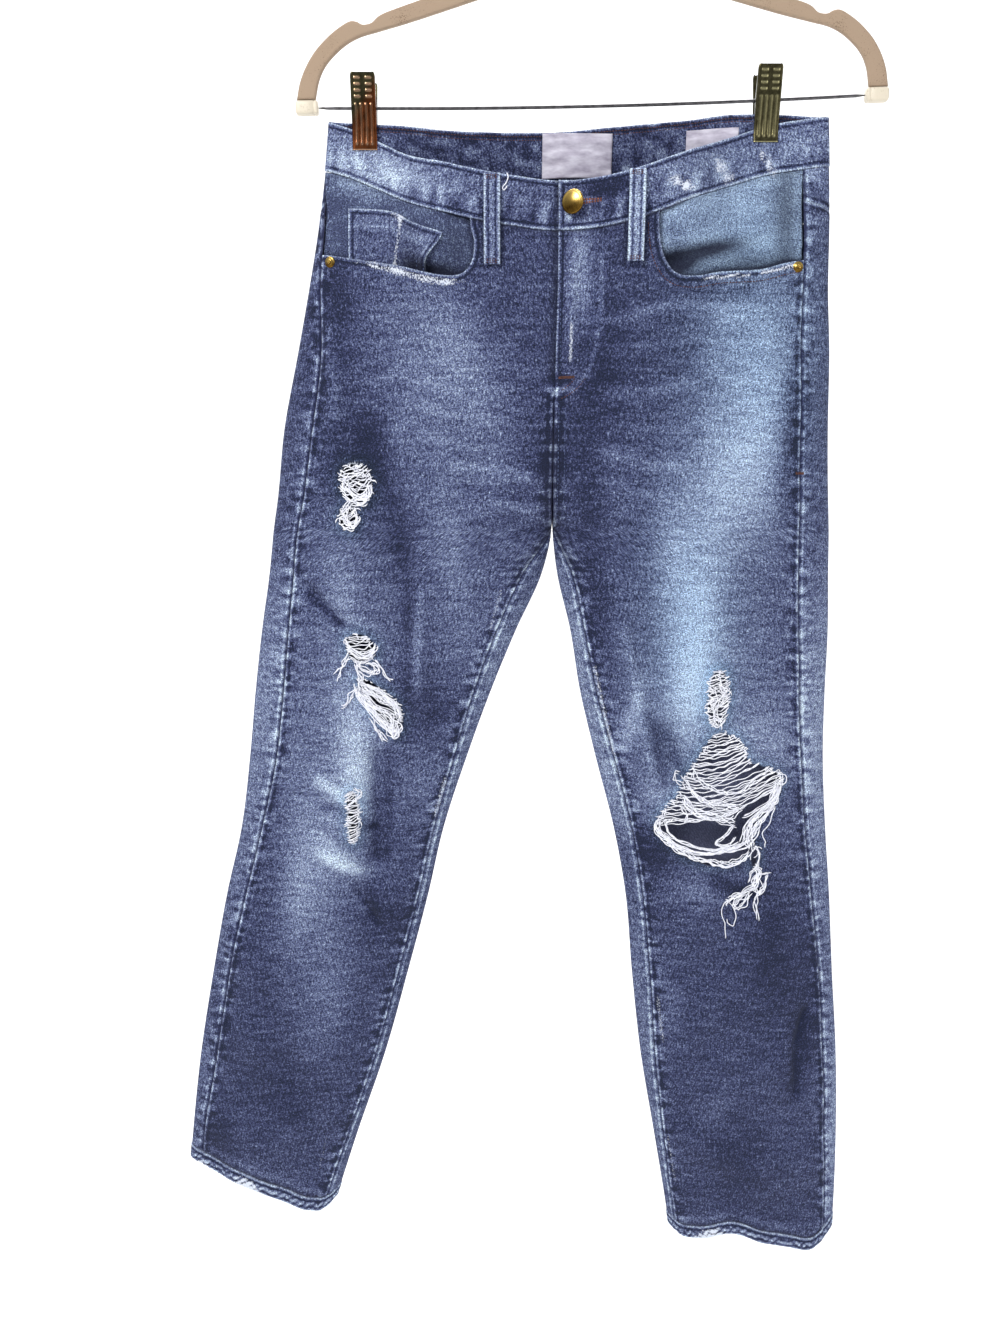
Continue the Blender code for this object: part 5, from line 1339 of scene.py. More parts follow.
# bundles of strands: number, spread at the start and the end, curl, and the way they run (x, height)
BUNDLES = {
    "left": [
        (9, 2.2, 2.6, 0.5, [(88, -753), (98, -764), (112, -772), (128, -776), (140, -776)]),
        (4, 1.6, 2.6, 0.7, [(95, -741), (103, -753), (118, -763), (134, -764), (148, -754), (161, -747)]),
        (7, 1.8, 2.2, 1.1, [(87, -768), (98, -780), (111, -785), (125, -789), (137, -791)]),
        (6, 1.4, 2.2, 0.9, [(88, -763), (99, -776), (115, -780), (128, -784), (140, -775)]),
        (14, 2.2, 2.4, 0.5, [(74, -784), (68, -794), (77, -805), (93, -813), (109, -817), (126, -815),
                             (139, -811), (150, -801), (155, -790)]),
        (9, 1.6, 2.2, 0.9, [(71, -798), (82, -810), (97, -820), (113, -824), (126, -826), (140, -822),
                            (150, -812)]),
        (6, 1.2, 1.6, 0.8, [(82, -785), (75, -791), (82, -803), (97, -810), (112, -814), (127, -811),
                            (137, -799)]),
        (15, 1.6, 2.8, 0.9, [(169, -752), (167, -768), (160, -777), (150, -786), (144, -796), (143, -811)]),
        (12, 1.4, 2.6, 1.2, [(166, -766), (163, -779), (153, -790), (148, -800), (149, -814)]),
        (5, 1.0, 1.6, 0.9, [(134, -790), (125, -801), (118, -808), (131, -811), (143, -805)]),
        (5, 1.0, 1.4, 0.6, [(168, -753), (165, -765), (161, -773), (149, -780), (138, -785)]),
        (2, 0.6, 1.2, 0.8, [(167, -771), (165, -787), (159, -799), (161, -807), (158, -814)]),
        (3, 0.8, 1.6, 0.8, [(90, -757), (82, -753), (82, -747), (88, -747)]),
        (4, 0.8, 2.0, 1.0, [(166, -755), (174, -753), (172, -746), (166, -745)]),
        (4, 0.8, 1.6, 0.9, [(87, -774), (92, -782), (90, -790)]),
        (10, 1.6, 2.4, 1.2, [(150, -826), (156, -835), (153, -847), (141, -856), (132, -860), (127, -864)]),
        (6, 1.2, 1.8, 1.0, [(166, -836), (156, -837), (152, -845), (157, -856), (162, -850), (160, -839)]),
        (4, 0.9, 1.2, 0.8, [(163, -834), (163, -849), (158, -856), (156, -866), (159, -883)]),
        (2, 0.6, 0.9, 0.7, [(132, -861), (128, -866), (129, -877), (132, -889), (132, -905)]),
        (2, 0.6, 0.9, 0.6, [(132, -862), (139, -872), (139, -885), (133, -883), (129, -868)]),
        (6, 1.2, 1.8, 1.2, [(153, -850), (147, -862), (140, -870), (136, -866), (141, -860), (151, -855)]),
        (5, 0.9, 1.4, 0.6, [(151, -810), (155, -817), (154, -827), (150, -836), (148, -848)]),
        (8, 3.4, 3.4, 1.4, [(110, -663), (117, -676), (112, -690), (116, -704)]),
    ],
    "right": [
        (9, 2.4, 2.4, 1.3, [(-186, -499), (-189, -507), (-182, -514), (-173, -518), (-169, -511),
                            (-170, -502)]),
        (6, 1.8, 2.0, 1.2, [(-191, -502), (-183, -500), (-175, -497), (-168, -499)]),
        (8, 1.8, 1.8, 1.3, [(-184, -519), (-191, -529), (-186, -538), (-180, -535), (-183, -525)]),
        (9, 1.6, 2.0, 0.5, [(-193, -630), (-189, -638), (-179, -644), (-171, -641), (-167, -633)]),
        (5, 1.2, 2.6, 0.7, [(-188, -641), (-194, -650), (-198, -656), (-205, -666)]),
        (7, 2.0, 2.2, 1.6, [(-182, -645), (-182, -653), (-174, -658), (-167, -655), (-171, -649),
                            (-179, -653)]),
        (3, 0.8, 1.6, 0.7, [(-170, -646), (-165, -653), (-161, -661), (-156, -666)]),
        (6, 1.2, 1.8, 1.0, [(-183, -649), (-184, -657), (-180, -663), (-183, -670)]),
        (12, 1.8, 2.8, 0.9, [(-185, -667), (-182, -679), (-172, -691), (-162, -702), (-154, -710),
                             (-150, -702)]),
        (6, 1.4, 2.2, 1.0, [(-183, -669), (-172, -676), (-162, -682), (-153, -687), (-150, -699)]),
        (8, 1.4, 2.4, 1.0, [(-184, -673), (-174, -685), (-166, -690), (-158, -696), (-156, -706),
                            (-162, -704)]),
        (8, 1.4, 1.8, 0.8, [(-179, -667), (-168, -671), (-158, -680), (-151, -690), (-149, -700)]),
        (4, 0.8, 2.0, 0.8, [(-182, -671), (-189, -675), (-193, -684), (-200, -688)]),
        (6, 1.4, 3.0, 1.1, [(-175, -696), (-172, -704), (-168, -709), (-163, -716)]),
        (5, 1.6, 2.0, 1.4, [(-158, -699), (-151, -701), (-152, -710), (-158, -711), (-160, -703)]),
        (4, 1.6, 1.6, 1.2, [(-189, -758), (-185, -761), (-187, -767)]),
    ],
}

# strands across the open knee: heights of the lowest and highest at both ends, their sag and their number
KNEE_LEFT, KNEE_RIGHT, KNEE_SAG, KNEE_COUNT = (-794.0, -712.0), (-760.0, -709.0), (13.0, 0.8), 37
THREAD_RADIUS = 0.44
FRINGE_PER_MM = 0.34      # short loose ends to each millimetre of torn edge

draw = np.random.default_rng(77)
strands = {"right": [], "left": []}


def crossing(outline, height):
    """The first and last x at which an outline passes a height."""
    after = np.roll(outline, -1, axis=0)
    passes = (outline[:, 1] > height) != (after[:, 1] > height)
    if not passes.any():
        return None
    share = (height - outline[passes, 1]) / (after[passes, 1] - outline[passes, 1])
    x = outline[passes, 0] + share * (after[passes, 0] - outline[passes, 0])
    return x.min(), x.max()


def weft(side, outline, ties, sag, crimp, past):
    """Slack strands across a rip, each from its height on the inner edge to its height on the outer one."""
    lowest, highest = outline[:, 1].min() + 0.8, outline[:, 1].max() - 0.8
    for (first, last), droop in zip(np.clip(ties, lowest, highest), np.broadcast_to(sag, len(ties))):
        low, high = crossing(outline, first), crossing(outline, last)
        if low is None or high is None or high[1] - low[0] < 1.5:
            continue
        height, rise = (first + last) / 2, (last - first) / 2
        start, end = low[0] - past * draw.uniform(-0.2, 1.2), high[1] + past * draw.uniform(-0.2, 1.2)
        width = end - start
        t = np.linspace(0, 1, int(max(9, width / 1.1)))
        hang = np.sin(math.pi * t ** draw.uniform(0.8, 1.25))
        slackness = droop * draw.uniform(0.6, 1.25) * min(1.0, width / 34)
        along = math.tau * width * t
        x = start + width * t + 0.5 * crimp * np.sin(along / draw.uniform(8, 14) + draw.uniform(0, 6))
        z = (height + (2 * t - 1) * rise - slackness * (hang - 0.2)
             + crimp * np.sin(along / draw.uniform(9, 17) + draw.uniform(0, 6)))
        strands[side].append((x, z, 0.9 + hang * draw.uniform(-1.6, 1.3)))


for side, rip, spacing, sag, tilt, crimp, past in WEFTS:
    outline = rip_line[side][rip]
    heights = np.arange(outline[:, 1].min() + 1, outline[:, 1].max(), spacing)
    rise = tilt * np.ptp(outline[:, 0]) / 2
    sags = np.linspace(sag, 0.3 * sag, len(heights))
    weft(side, outline, np.stack([heights - rise, heights + rise], axis=1), sags, crimp, past)
ties = np.stack([np.linspace(*KNEE_LEFT, KNEE_COUNT), np.linspace(*KNEE_RIGHT, KNEE_COUNT)], axis=1)
ties += draw.uniform(-0.8, 0.8, ties.shape)
weft("left", rip_line["left"]["knee"], ties, np.linspace(*KNEE_SAG, KNEE_COUNT), 0.6, 2.2)


def strand(guide, size_low, size_high, curl):
    """One wandering strand of a bundle, as its x, its height and how far it stands out."""
    length = np.linalg.norm(np.diff(guide, axis=0), axis=1).sum()
    begin, finish = draw.uniform(0, 0.10), 1 - draw.uniform(0, 0.16)
    steps = int(max(10, length * (finish - begin) / 1.15))
    path = curve_through(guide, 200)[np.linspace(begin * 199, finish * 199, steps).astype(int)]
    t = np.linspace(begin, finish, steps)
    size = size_low + (size_high - size_low) * t
    turns = length / draw.uniform(9.0, 16.0)
    phase = draw.uniform(0, math.tau, 5)
    drift = draw.uniform(-1, 1, 2)
    sway = draw.uniform(0.3, 0.8)
    x = (path[:, 0] + size * (drift[0] + sway * np.sin(math.tau * 1.1 * t + phase[0]))
         + 0.75 * curl * np.sin(math.tau * turns * t + phase[1]))
    z = (path[:, 1] + size * (drift[1] + sway * np.sin(math.tau * 1.3 * t + phase[2]))
         + 0.75 * curl * np.cos(math.tau * turns * t + phase[3]))
    return x, z, 1.5 + draw.uniform(-0.4, 2.0) + 0.7 * np.sin(math.tau * 2 * t + phase[4])


for side, bundles in BUNDLES.items():
    for count, size_low, size_high, curl, guide in bundles:
        for _ in range(round(count * 0.7)):
            strands[side].append(strand(np.array(guide, float), size_low, size_high, curl))

for side, rips in rip_line.items():
    for outline in rips.values():
        for (x0, z0), (x1, z1) in zip(outline, np.roll(outline, -1, axis=0)):
            for _ in range(draw.poisson(FRINGE_PER_MM * math.hypot(x1 - x0, z1 - z0))):
                along = draw.uniform(0, 1)
                angle, bend = draw.uniform(0, math.tau), draw.uniform(-2.4, 2.4)
                length = draw.uniform(1.6, 4.2)
                t = np.linspace(0, 1, 6)
                x = x0 + (x1 - x0) * along + length * t * np.cos(angle + bend * t)
                z = z0 + (z1 - z0) * along + length * t * np.sin(angle + bend * t) - 1.5 * t * t
                if z0 > outline[:, 1].min() + 0.3 * np.ptp(outline[:, 1]):
                    strands[side].append((x, z, 0.5 + 1.2 * t))
LOOSE_END = [(-61.5, -278), (-60.5, -281), (-62, -285), (-64.5, -288), (-63.5, -290), (-61, -287)]
loose_end = curve_through(LOOSE_END, 30)
strands["right"].append((loose_end[:, 0], loose_end[:, 1], np.full(30, 1.4)))

cotton_weft = yarn("bleached_cotton_weft", "f7f8fc", "e4e4ee")
for side in ("right", "left"):
    lengths = [len(x) for x, z, out in strands[side]]
    x, z, out = (np.concatenate([strand[k] for strand in strands[side]]) for k in range(3))
    points = front_surface(side, x, z, 0.0)
    points[:, 1] -= PANEL_WALL / 2 + out
    paths = np.split(points, np.cumsum(lengths)[:-1])
    tubes(side + "_rip_threads", paths, THREAD_RADIUS, 5, cotton_weft)


# ---------------------------------------------------------------- topstitching
# Lockstitches in polyester-cotton thread, 2.6 mm long. Most rows are blue to match the cloth. The bartacks,
# the buttonhole, the left mouth and the band's inside are in rust.
def sewing_thread(name, light, dark):
    """Twisted sewing thread: smoother than yarn, with a faint gloss, and the yarn's mottling, paler here and
    there and darker with painted shade between the fibres.
    """
    return yarn(name, light, dark, rough=0.6)


def sample(grid, row, column):
    """Read a grid of values between its rows and columns."""
    row = np.clip(row, 0, grid.shape[0] - 1.001)
    column = np.clip(column, 0, grid.shape[1] - 1.001)
    r, c = row.astype(int), column.astype(int)
    dr, dc = (row - r)[:, None], (column - c)[:, None]
    low = grid[r, c] * (1 - dc) + grid[r, c + 1] * dc
    high = grid[r + 1, c] * (1 - dc) + grid[r + 1, c + 1] * dc
    return low * (1 - dr) + high * dr


def seam_rows(name, edge, distances, begin=0.0, end=1.0):
    """Sewn rows on a piece's face, each a distance in from one of its edges."""
    face, normal = faces_of[name]
    if edge in ("low", "high"):
        face, normal = np.swapaxes(face, 0, 1), np.swapaxes(normal, 0, 1)
    first, last = along_rows(face)
    measured = first if edge in ("first", "low") else last[:, ::-1]
    rows = np.arange(len(face), dtype=float)
    keep = (rows >= begin * rows[-1]) & (rows <= end * rows[-1])
    sewn = []
    for distance in distances:
        place = np.array([np.interp(distance, line, np.arange(len(line))) for line in measured])
        if edge in ("last", "high"):
            place = face.shape[1] - 1 - place
        sewn.append(tuple(sample(grid, rows[keep], place[keep]) for grid in (face, normal)))
    return sewn


def facing_front(path):
    """The normals of a path that lies flat on the front."""
    return np.tile((0.0, -1.0, 0.0), (len(path), 1))


def front_row(side, path):
    """A sewn row on a front panel along a path of x and height."""
    path = np.asarray(path, float)
    return front_surface(side, path[:, 0], path[:, 1], PANEL_WALL / 2), facing_front(path)


def stitches(name, rows, finish, length=2.6, gap=0.8, radius=0.30):
    """Short rounded stitches, one after another along each row, their ends sunk into the cloth."""
    starts, ends, normals = [], [], []
    for points, normal in rows:
        run = np.concatenate([[0], np.cumsum(np.linalg.norm(np.diff(points, axis=0), axis=1))])
        begin = np.arange(0.5, run[-1] - length, length + gap)
        for at, store in ((begin, starts), (begin + length, ends)):
            store.append(np.stack([np.interp(at, run, points[:, k]) for k in range(3)], axis=-1))
        normals.append(np.stack([np.interp(begin, run, normal[:, k]) for k in range(3)], axis=-1))
    starts, ends, normals = (np.concatenate(part) for part in (starts, ends, normals))
    normals = unit(normals)
    along = ends - starts
    sideways = unit(np.cross(along, normals))
    vertices = [starts - 0.3 * normals]
    for share in (0.2, 0.8):
        for aside, up in ((1, 0), (0.35, 1), (-0.35, 1), (-1, 0)):
            vertices.append(starts + along * share + radius * aside * sideways
                            + (radius * up - 0.05) * normals)
    vertices.append(ends - 0.3 * normals)
    pattern = [(0, 2, 1), (0, 3, 2), (0, 4, 3), (1, 2, 6, 5), (2, 3, 7, 6), (3, 4, 8, 7), (9, 5, 6),
               (9, 6, 7), (9, 7, 8)]
    faces = [tuple(corner + 10 * i for corner in face) for i in range(len(starts)) for face in pattern]
    return make_mesh(name, np.stack(vertices, axis=1).reshape(-1, 3), faces, finish)


def tack(centre, across, down, rows=9):
    """A bartack: a dense zigzag over a few millimetres, as a path round its centre (x, height)."""
    centre, across, down = (np.array(part, float) for part in (centre, across, down))
    share = np.repeat(np.linspace(-0.5, 0.5, rows), 2)[:, None]
    return centre + down * share + across * np.tile([-0.5, 0.5], rows)[:, None]


def beside_mouth(side, distance):
    """The path a distance outside a pocket mouth, as far as its edge shows."""
    outline = smooth_outline(POCKET_MOUTH[side], 14)
    after = np.roll(outline, -1, axis=0) - outline
    outward = unit(np.stack([after[:, 1], -after[:, 0]], axis=1))
    trial = outline + outward * distance
    if from_outline(outline, trial[:, 0], trial[:, 1])[0].mean() < 0:
        trial = outline - outward * distance
    x, z = trial[:, 0], trial[:, 1]
    band = waist_height("front", x) - BAND_HEIGHT
    seam = section(side, "side_seam", z)
    clear = from_outline(outline, x, z)[0] > distance * 0.8
    return trial[clear & (z < band - 1.5) & (np.abs(x) < np.abs(seam) - 2)]


blue_thread = sewing_thread("blue_sewing_thread", "5a678e", "232b4a")
pale_thread = sewing_thread("pale_sewing_thread", "93a0bd", "5b678a")
rust_thread = sewing_thread("rust_sewing_thread", "5a372d", "3a231c")
buttonhole_thread = sewing_thread("rust_buttonhole_thread", "8f5a47", "5a3326")

blue_rows, back_rows, band_rows, rust_rows = [], [], [], []
for side in ("right", "left"):
    back, pocket = side + "_back_cloth", side + "_back_pocket_cloth"
    inner_edge = faces_of[back][0][:, -1, 2]
    at_crotch = float(np.argmin(np.abs(inner_edge - CROTCH_HEIGHT))) / (len(inner_edge) - 1)
    blue_rows += seam_rows(back, "last", (1.7, 6.2), end=at_crotch)
    for distance in (2.0, 8.2):
        rows = rust_rows if side == "left" and distance > 5 else blue_rows
        rows.append(front_row(side, beside_mouth(side, distance)))
    back_rows += seam_rows(back, "high", (2.0, 8.0))
    for edge in ("first", "last", "low"):
        back_rows += seam_rows(pocket, edge, (1.8, 7.6))
    back_rows += seam_rows(pocket, "high", (16.5,))
    band_rows += seam_rows(side + "_hem_cloth", "high", (2.2,))
back_rows += seam_rows("right_back_cloth", "last", (2.0, 8.0), begin=at_crotch + 0.06)
back_rows += seam_rows("right_yoke_cloth", "last", (2.0, 8.0))
for edge, distance in (("low", 2.4), ("high", 2.4), ("first", 2.2)):
    band_rows += seam_rows("waistband_cloth", edge, (distance,))
for edge, distances in (("first", (1.8, 7.6)), ("last", (1.8, 7.6)), ("high", (2.2, 11.5))):
    blue_rows += seam_rows("coin_pocket_cloth", edge, distances)

# the fly: a row beside its edge, the curved double row that holds its facing, and two down the rise below it
FLY_CURVE = [(10.5, -318), (10.5, -345), (10, -372), (8.5, -396), (4, -415), (-4, -429), (-13, -437),
             (-21, -441)]
RUST_BELOW = -424
blue_rows.append(front_row("left", curve_through([(-20.5, -319), (-20.5, -370), (-20.5, -422)], 60)))
for inset in (0.0, 5.6):
    path = curve_through(FLY_CURVE, 90) - np.array((inset, -inset * 0.7)) * np.linspace(1, 0.9, 90)[:, None]
    blue_rows.append(front_row("left", path[path[:, 1] > RUST_BELOW]))
    rust_rows.append(front_row("left", path[(path[:, 1] <= RUST_BELOW) & (path[:, 0] > -21)]))
for x, low in ((-21, -534), (-16, -530)):
    blue_rows.append(front_row("left", curve_through([(x, -446), (x, -490), (x, low)], 60)))

# bartacks at the foot of the fly and on the left thigh: centre, size across and run down
for centre, across, down in (((-15.5, -424.5), (13, 0.6), (0.4, 1.4)), ((172, -497), (8, 0), (0, 1.6))):
    rust_rows.append(front_row("left", curve_through(tack(centre, across, down), 120)))

band_face, band_normal = faces_of["waistband_cloth"]
inner_face = 2 * band_grid - band_face
back_part = slice(BACK_START + 2, BACK_END - 1)
for row in (len(band_shares) - 4, len(band_shares) - 5):
    rust_rows.append((inner_face[row, back_part], -band_normal[row, back_part]))


def on_band(path):
    """A sewn path on the front of the waistband's left end, from x and height."""
    front = band_face[:, :BAND_QUARTER + 1]
    middle = front[len(front) // 2, :, 0]
    points = []
    for x, z in path:
        column = int(np.argmin(np.abs(middle - x)))
        points.append((x, float(np.interp(z, front[:, column, 2], front[:, column, 1])), z))
    return np.array(points), facing_front(points)


# the buttonhole: an eye behind the button's shank and a straight slot, worked over in rust
BUTTON_X, BUTTON_Z = -10.3, -299.0
HOLE_END = 11.5
hole_rows = []
for lane in (-2.1, -1.5, -0.9, 0.9, 1.5, 2.1):
    path = [(x, BUTTON_Z + 0.5 + lane * (1 - 0.03 * (x - BUTTON_X)) + (x - BUTTON_X) * 0.10)
            for x in np.arange(BUTTON_X + 5, HOLE_END, 0.55)]
    hole_rows.append(on_band(path))

# each loop has a row along both sides and three bartack rows across both ends
TACK_ROWS = (1.2, 2.2, 3.2, 52.8, 53.8, 54.8)
tack_columns = np.linspace(1.2, 12.8, 30)
for number in range(1, len(BELT_LOOPS) + 1):
    name = "belt_loop_%d_cloth" % number
    band_rows += seam_rows(name, "first", (3.2,)) + seam_rows(name, "last", (3.2,))
    for row in TACK_ROWS:
        rust_rows.append(tuple(sample(grid, np.full(30, row), tack_columns) for grid in faces_of[name]))

stitches("front_stitching", blue_rows, blue_thread)
stitches("back_stitching", back_rows, pale_thread)
stitches("band_stitching", band_rows, blue_thread)
stitches("rust_stitching", rust_rows, rust_thread, length=1.9, gap=0.35, radius=0.33)
stitches("buttonhole_stitching", hole_rows, buttonhole_thread, length=1.9, gap=0.2,
         radius=0.36)


# ---------------------------------------------------------------- button and rivets
# A brass shank button, plain and slightly domed inside a rolled rim, and a small brass rivet at the outer end
# of each front pocket mouth. All were stamped from sheet, and their upper halves carry a painted highlight.
# the direction along which a painted brown reflection takes over the lower part of a clip's plate, and where
# along it that starts and ends
REFLECTION_WAY, REFLECTION_FROM, REFLECTION_TO = (1517.0, 0.0, -1000.0), -37.0, -27.0


def brass(name, light, dark, rough, wiped, highlight_and_rubbed=None, painted_below=None):
    """Stamped brass: a warm yellow metal, brown in the hollows, with fine 0.3 mm wipe marks in its gloss.
    highlight_and_rubbed is the colour of the parts that the mesh marks as raised: painted highlights, which
    on the clips also stand for metal worn bright. painted_below is that of a painted brown reflection over
    the lower part of a plate."""
    material, tree, shader = begin_material(name)
    place = add(tree, "TexCoord").outputs["Object"]
    stain = add(tree, "TexNoise", {"Vector": place, "Scale": 220.0, "Detail": 3.0,
                                   "Roughness": 0.6}).outputs["Fac"]
    wipes = add(tree, "Mapping", {"Vector": place, "Scale": (3000.0, 3000.0, 500.0)}).outputs[0]
    marks = add(tree, "TexNoise", {"Vector": wipes, "Scale": 1.0}).outputs["Fac"]
    tone = add(tree, "ValToRGB", {0: stain}, [(0.30, dark), (0.60, light)]).outputs[0]
    # a painted brown reflection over the lower part of the plate
    if painted_below:
        line = add(tree, "VectorMath", {0: place, 1: REFLECTION_WAY}, operation="DOT_PRODUCT").outputs["Value"]
        reflection_share = add(tree, "MapRange", {"Value": line, "From Min": REFLECTION_FROM,
                                      "From Max": REFLECTION_TO}).outputs[0]
        reflection_tone = add(tree, "ValToRGB", {0: stain}, [(0.30, painted_below[1]), (0.60, painted_below[0])]).outputs[0]
        tone = add(tree, "Mix", {0: reflection_share, 6: tone, 7: reflection_tone}, data_type="RGBA").outputs[2]
    # painted highlights: the bright colour goes where the mesh's raised attribute is high
    if highlight_and_rubbed:
        raised = add(tree, "Attribute", attribute_name="raised").outputs["Vector"]
        raised = add(tree, "SeparateXYZ", {0: raised}).outputs["X"]
        tone = add(tree, "Mix", {0: raised, 6: tone, 7: linear(highlight_and_rubbed)}, data_type="RGBA").outputs[2]
    gloss = add(tree, "MapRange", {"Value": marks, "To Min": rough * (1 - wiped),
                                   "To Max": rough * (1 + wiped)}).outputs[0]
    relief = add(tree, "Bump", {"Height": marks, "Strength": 0.16 * wiped, "Distance": 0.1 * MM}).outputs[0]
    plug(tree, shader, {"Base Color": tone, "Roughness": gloss, "Normal": relief, "Metallic": 1.0})
    return material


def tilted(across, up, angle):
    """A point turned by an angle in its own plane."""
    return (across * math.cos(angle) - up * math.sin(angle), across * math.sin(angle) + up * math.cos(angle))


def turned(name, profile, steps, centre, yaw, node):
    """A turned piece facing the front, from its profile of radius and height, turned sideways by yaw."""
    profile = np.array(profile, float)
    vertices = []
    for step in range(steps):
        angle = math.tau * step / steps
        x, y = tilted(profile[:, 0] * math.cos(angle), -profile[:, 1], yaw)
        vertices.append(np.stack([x, y, profile[:, 0] * math.sin(angle)], axis=-1) + np.array(centre))
    vertices = np.concatenate(vertices)
    rows = len(profile)
    faces = []
    for step in range(steps):
        low, after = step * rows, (step + 1) % steps * rows
        faces += [(low + i, after + i, after + i + 1, low + i + 1) for i in range(rows - 1)]
    raised = np.zeros((len(vertices), 3))
    # painted highlight: the upper half of each turned piece is marked to take the bright colour
    raised[:, 0] = ease((vertices[:, 2] - centre[2]) / profile[:, 0].max() * 0.9 + 0.45)
    return make_mesh(name, vertices, faces, button_brass, [node], {"raised": raised})


def front_face(side, x, height, out):
    """The y of the front layer, moved out."""
    return float(skin(side, turn_at_x(side, "front", x, height), height, out)[1])


# radius and height of each profile, from the middle of the face out, round the rim and back under it
BUTTON_PROFILE = [(0.02, 7.10), (1.5, 7.05), (3.2, 6.85), (4.8, 6.52), (5.9, 6.20), (6.6, 6.00), (7.2, 6.02),
                  (7.7, 6.00), (8.2, 5.75), (8.55, 5.35), (8.72, 4.9), (8.76, 4.5), (8.55, 4.0), (8.0, 3.7),
                  (6.0, 3.4), (4.2, 3.0), (3.2, 1.8), (3.0, 0.0), (0.02, 0.0)]
BUTTON_YAW = -0.52        # it hangs a little sideways on its loose shank
RIVET_PROFILE = [(0.02, 0.75), (0.7, 0.8), (1.0, 1.1), (1.3, 1.62), (1.7, 1.7), (2.1, 1.45), (2.6, 0.95),
                 (3.3, 0.75), (3.8, 0.55), (4.08, 0.28), (4.0, 0.02), (0.02, 0.0)]
RIVETS = {"right": (-196.5, -338.5), "left": (160.7, -342.5)}
button_brass = brass("stamped_brass_with_painted_highlight", "725623", "4a3414", 0.28, 0.2, highlight_and_rubbed="bfa058")
button_y = front_face("left", BUTTON_X, BUTTON_Z, BAND_WALL / 2 + LAY_GAP + float(band_lift(BUTTON_X)))
turned("shank_button", BUTTON_PROFILE, 72, (BUTTON_X, button_y, BUTTON_Z), BUTTON_YAW, "waist_button")
for side, (x, z) in RIVETS.items():
    yaw = math.atan((front_face(side, x + 1.5, z, 0) - front_face(side, x - 1.5, z, 0)) / 3)
    y = front_face(side, x, z, PANEL_WALL / 2 + LAY_GAP) - 4.1 * abs(math.sin(yaw)) * 0.35
    turned(side + "_mouth_rivet", RIVET_PROFILE, 40, (x, y, z), yaw, side + "_rivet")


# ---------------------------------------------------------------- hanger
# A flat board of moulded plastic, flocked in beige so that it feels like velvet, with a chromed wire hook. A
# thin steel bar runs between two cream end caps, and the clips slide along it.
def plastic(name, light, dark, rough, grain, relief, sheen=0.0):
    """A moulded or flocked plastic surface. grain is the size of its speckle in millimetres."""
    material, tree, shader = begin_material(name)
    place = add(tree, "TexCoord").outputs["Object"]
    speck = add(tree, "TexNoise", {"Vector": place, "Scale": 1000.0 / grain, "Detail": 1.0}).outputs["Fac"]
    cloud = add(tree, "TexNoise", {"Vector": place, "Scale": 60.0, "Detail": 2.0}).outputs["Fac"]
    both = add(tree, "Math", {0: speck, 1: 1.4, 2: cloud}, operation="MULTIPLY_ADD").outputs[0]
    tone = add(tree, "ValToRGB", {0: both}, [(0.75, dark), (1.0, light), (1.0, light)]).outputs[0]
    raised = add(tree, "Bump", {"Height": speck, "Strength": 0.3, "Distance": relief * MM}).outputs[0]
    plug(tree, shader, {"Base Color": tone, "Normal": raised, "Roughness": rough, "Sheen Weight": sheen})
    return material


def steel(name, light, dark, rough):
    """Bright drawn wire: grey metal whose draw marks, 0.1 mm apart, are drawn as 0.8 mm streaks of gloss."""
    return brass(name, light, dark, rough, 0.1)


BAR_CENTRE = (2.5, -222.4)
BAR_TILT = math.radians(1.23)
BAR_RADIUS = 1.2
BAR_HALF = 205.7          # half its length
BAR_SAG = 3.2
ARM_LEAN = 0.04
ARM_ROUND = 1.4
CAP_DEPTH, CAP_HEIGHT, CAP_SIDES = 8.0, 10.0, 48
HOOK_RADIUS = 19.0
HOOK_WIRE = 1.75
# the right half of the arms' outer edge from the cap to the neck, and of their inner edge back (along, up)
ARM_OUTLINE = [(222, 5.6), (219.5, 17), (215, 27.5), (208, 38), (199.5, 46.5), (191, 53), (182, 57.8),
               (176.5, 57.6), (172, 55.6), (165.5, 56.6), (159, 61.5), (145, 66.3), (110, 76.5), (60, 91),
               (30, 100), (12, 108), (8, 118)]
ARM_INNER = [(20, 89.5), (50, 81), (86, 70.8), (134, 57.5), (160, 51), (174.5, 47.3), (186, 41.5), (198, 31),
             (204.5, 20), (208, 5.6)]
ARM_STATIONS = 96


def on_bar(along, up, lean=ARM_LEAN):
    """A point of the hanger from its place along and above the bar. The arms lean a little to one side."""
    along = along + lean * up
    return (BAR_CENTRE[0] + along * math.cos(BAR_TILT) - up * math.sin(BAR_TILT),
            BAR_CENTRE[1] + along * math.sin(BAR_TILT) + up * math.cos(BAR_TILT))


def bar_point(along):
    """A point of the loaded bar's middle line."""
    x, z = on_bar(along, -BAR_SAG * (1 - (along / BAR_HALF) ** 2))
    return x, 0, z


def both_arms(edge):
    """One arm's edge and its mirror image, placed on the hanger."""
    edge = np.concatenate([edge, (edge * (-1.0, 1.0))[::-1]])
    return np.array([on_bar(*point) for point in edge])


outer_edge = both_arms(curve_through(ARM_OUTLINE, ARM_STATIONS))
inner_edge = both_arms(curve_through(ARM_INNER, ARM_STATIONS)[::-1])
inward = (inner_edge - outer_edge) / np.linalg.norm(inner_edge - outer_edge, axis=1)[:, None]
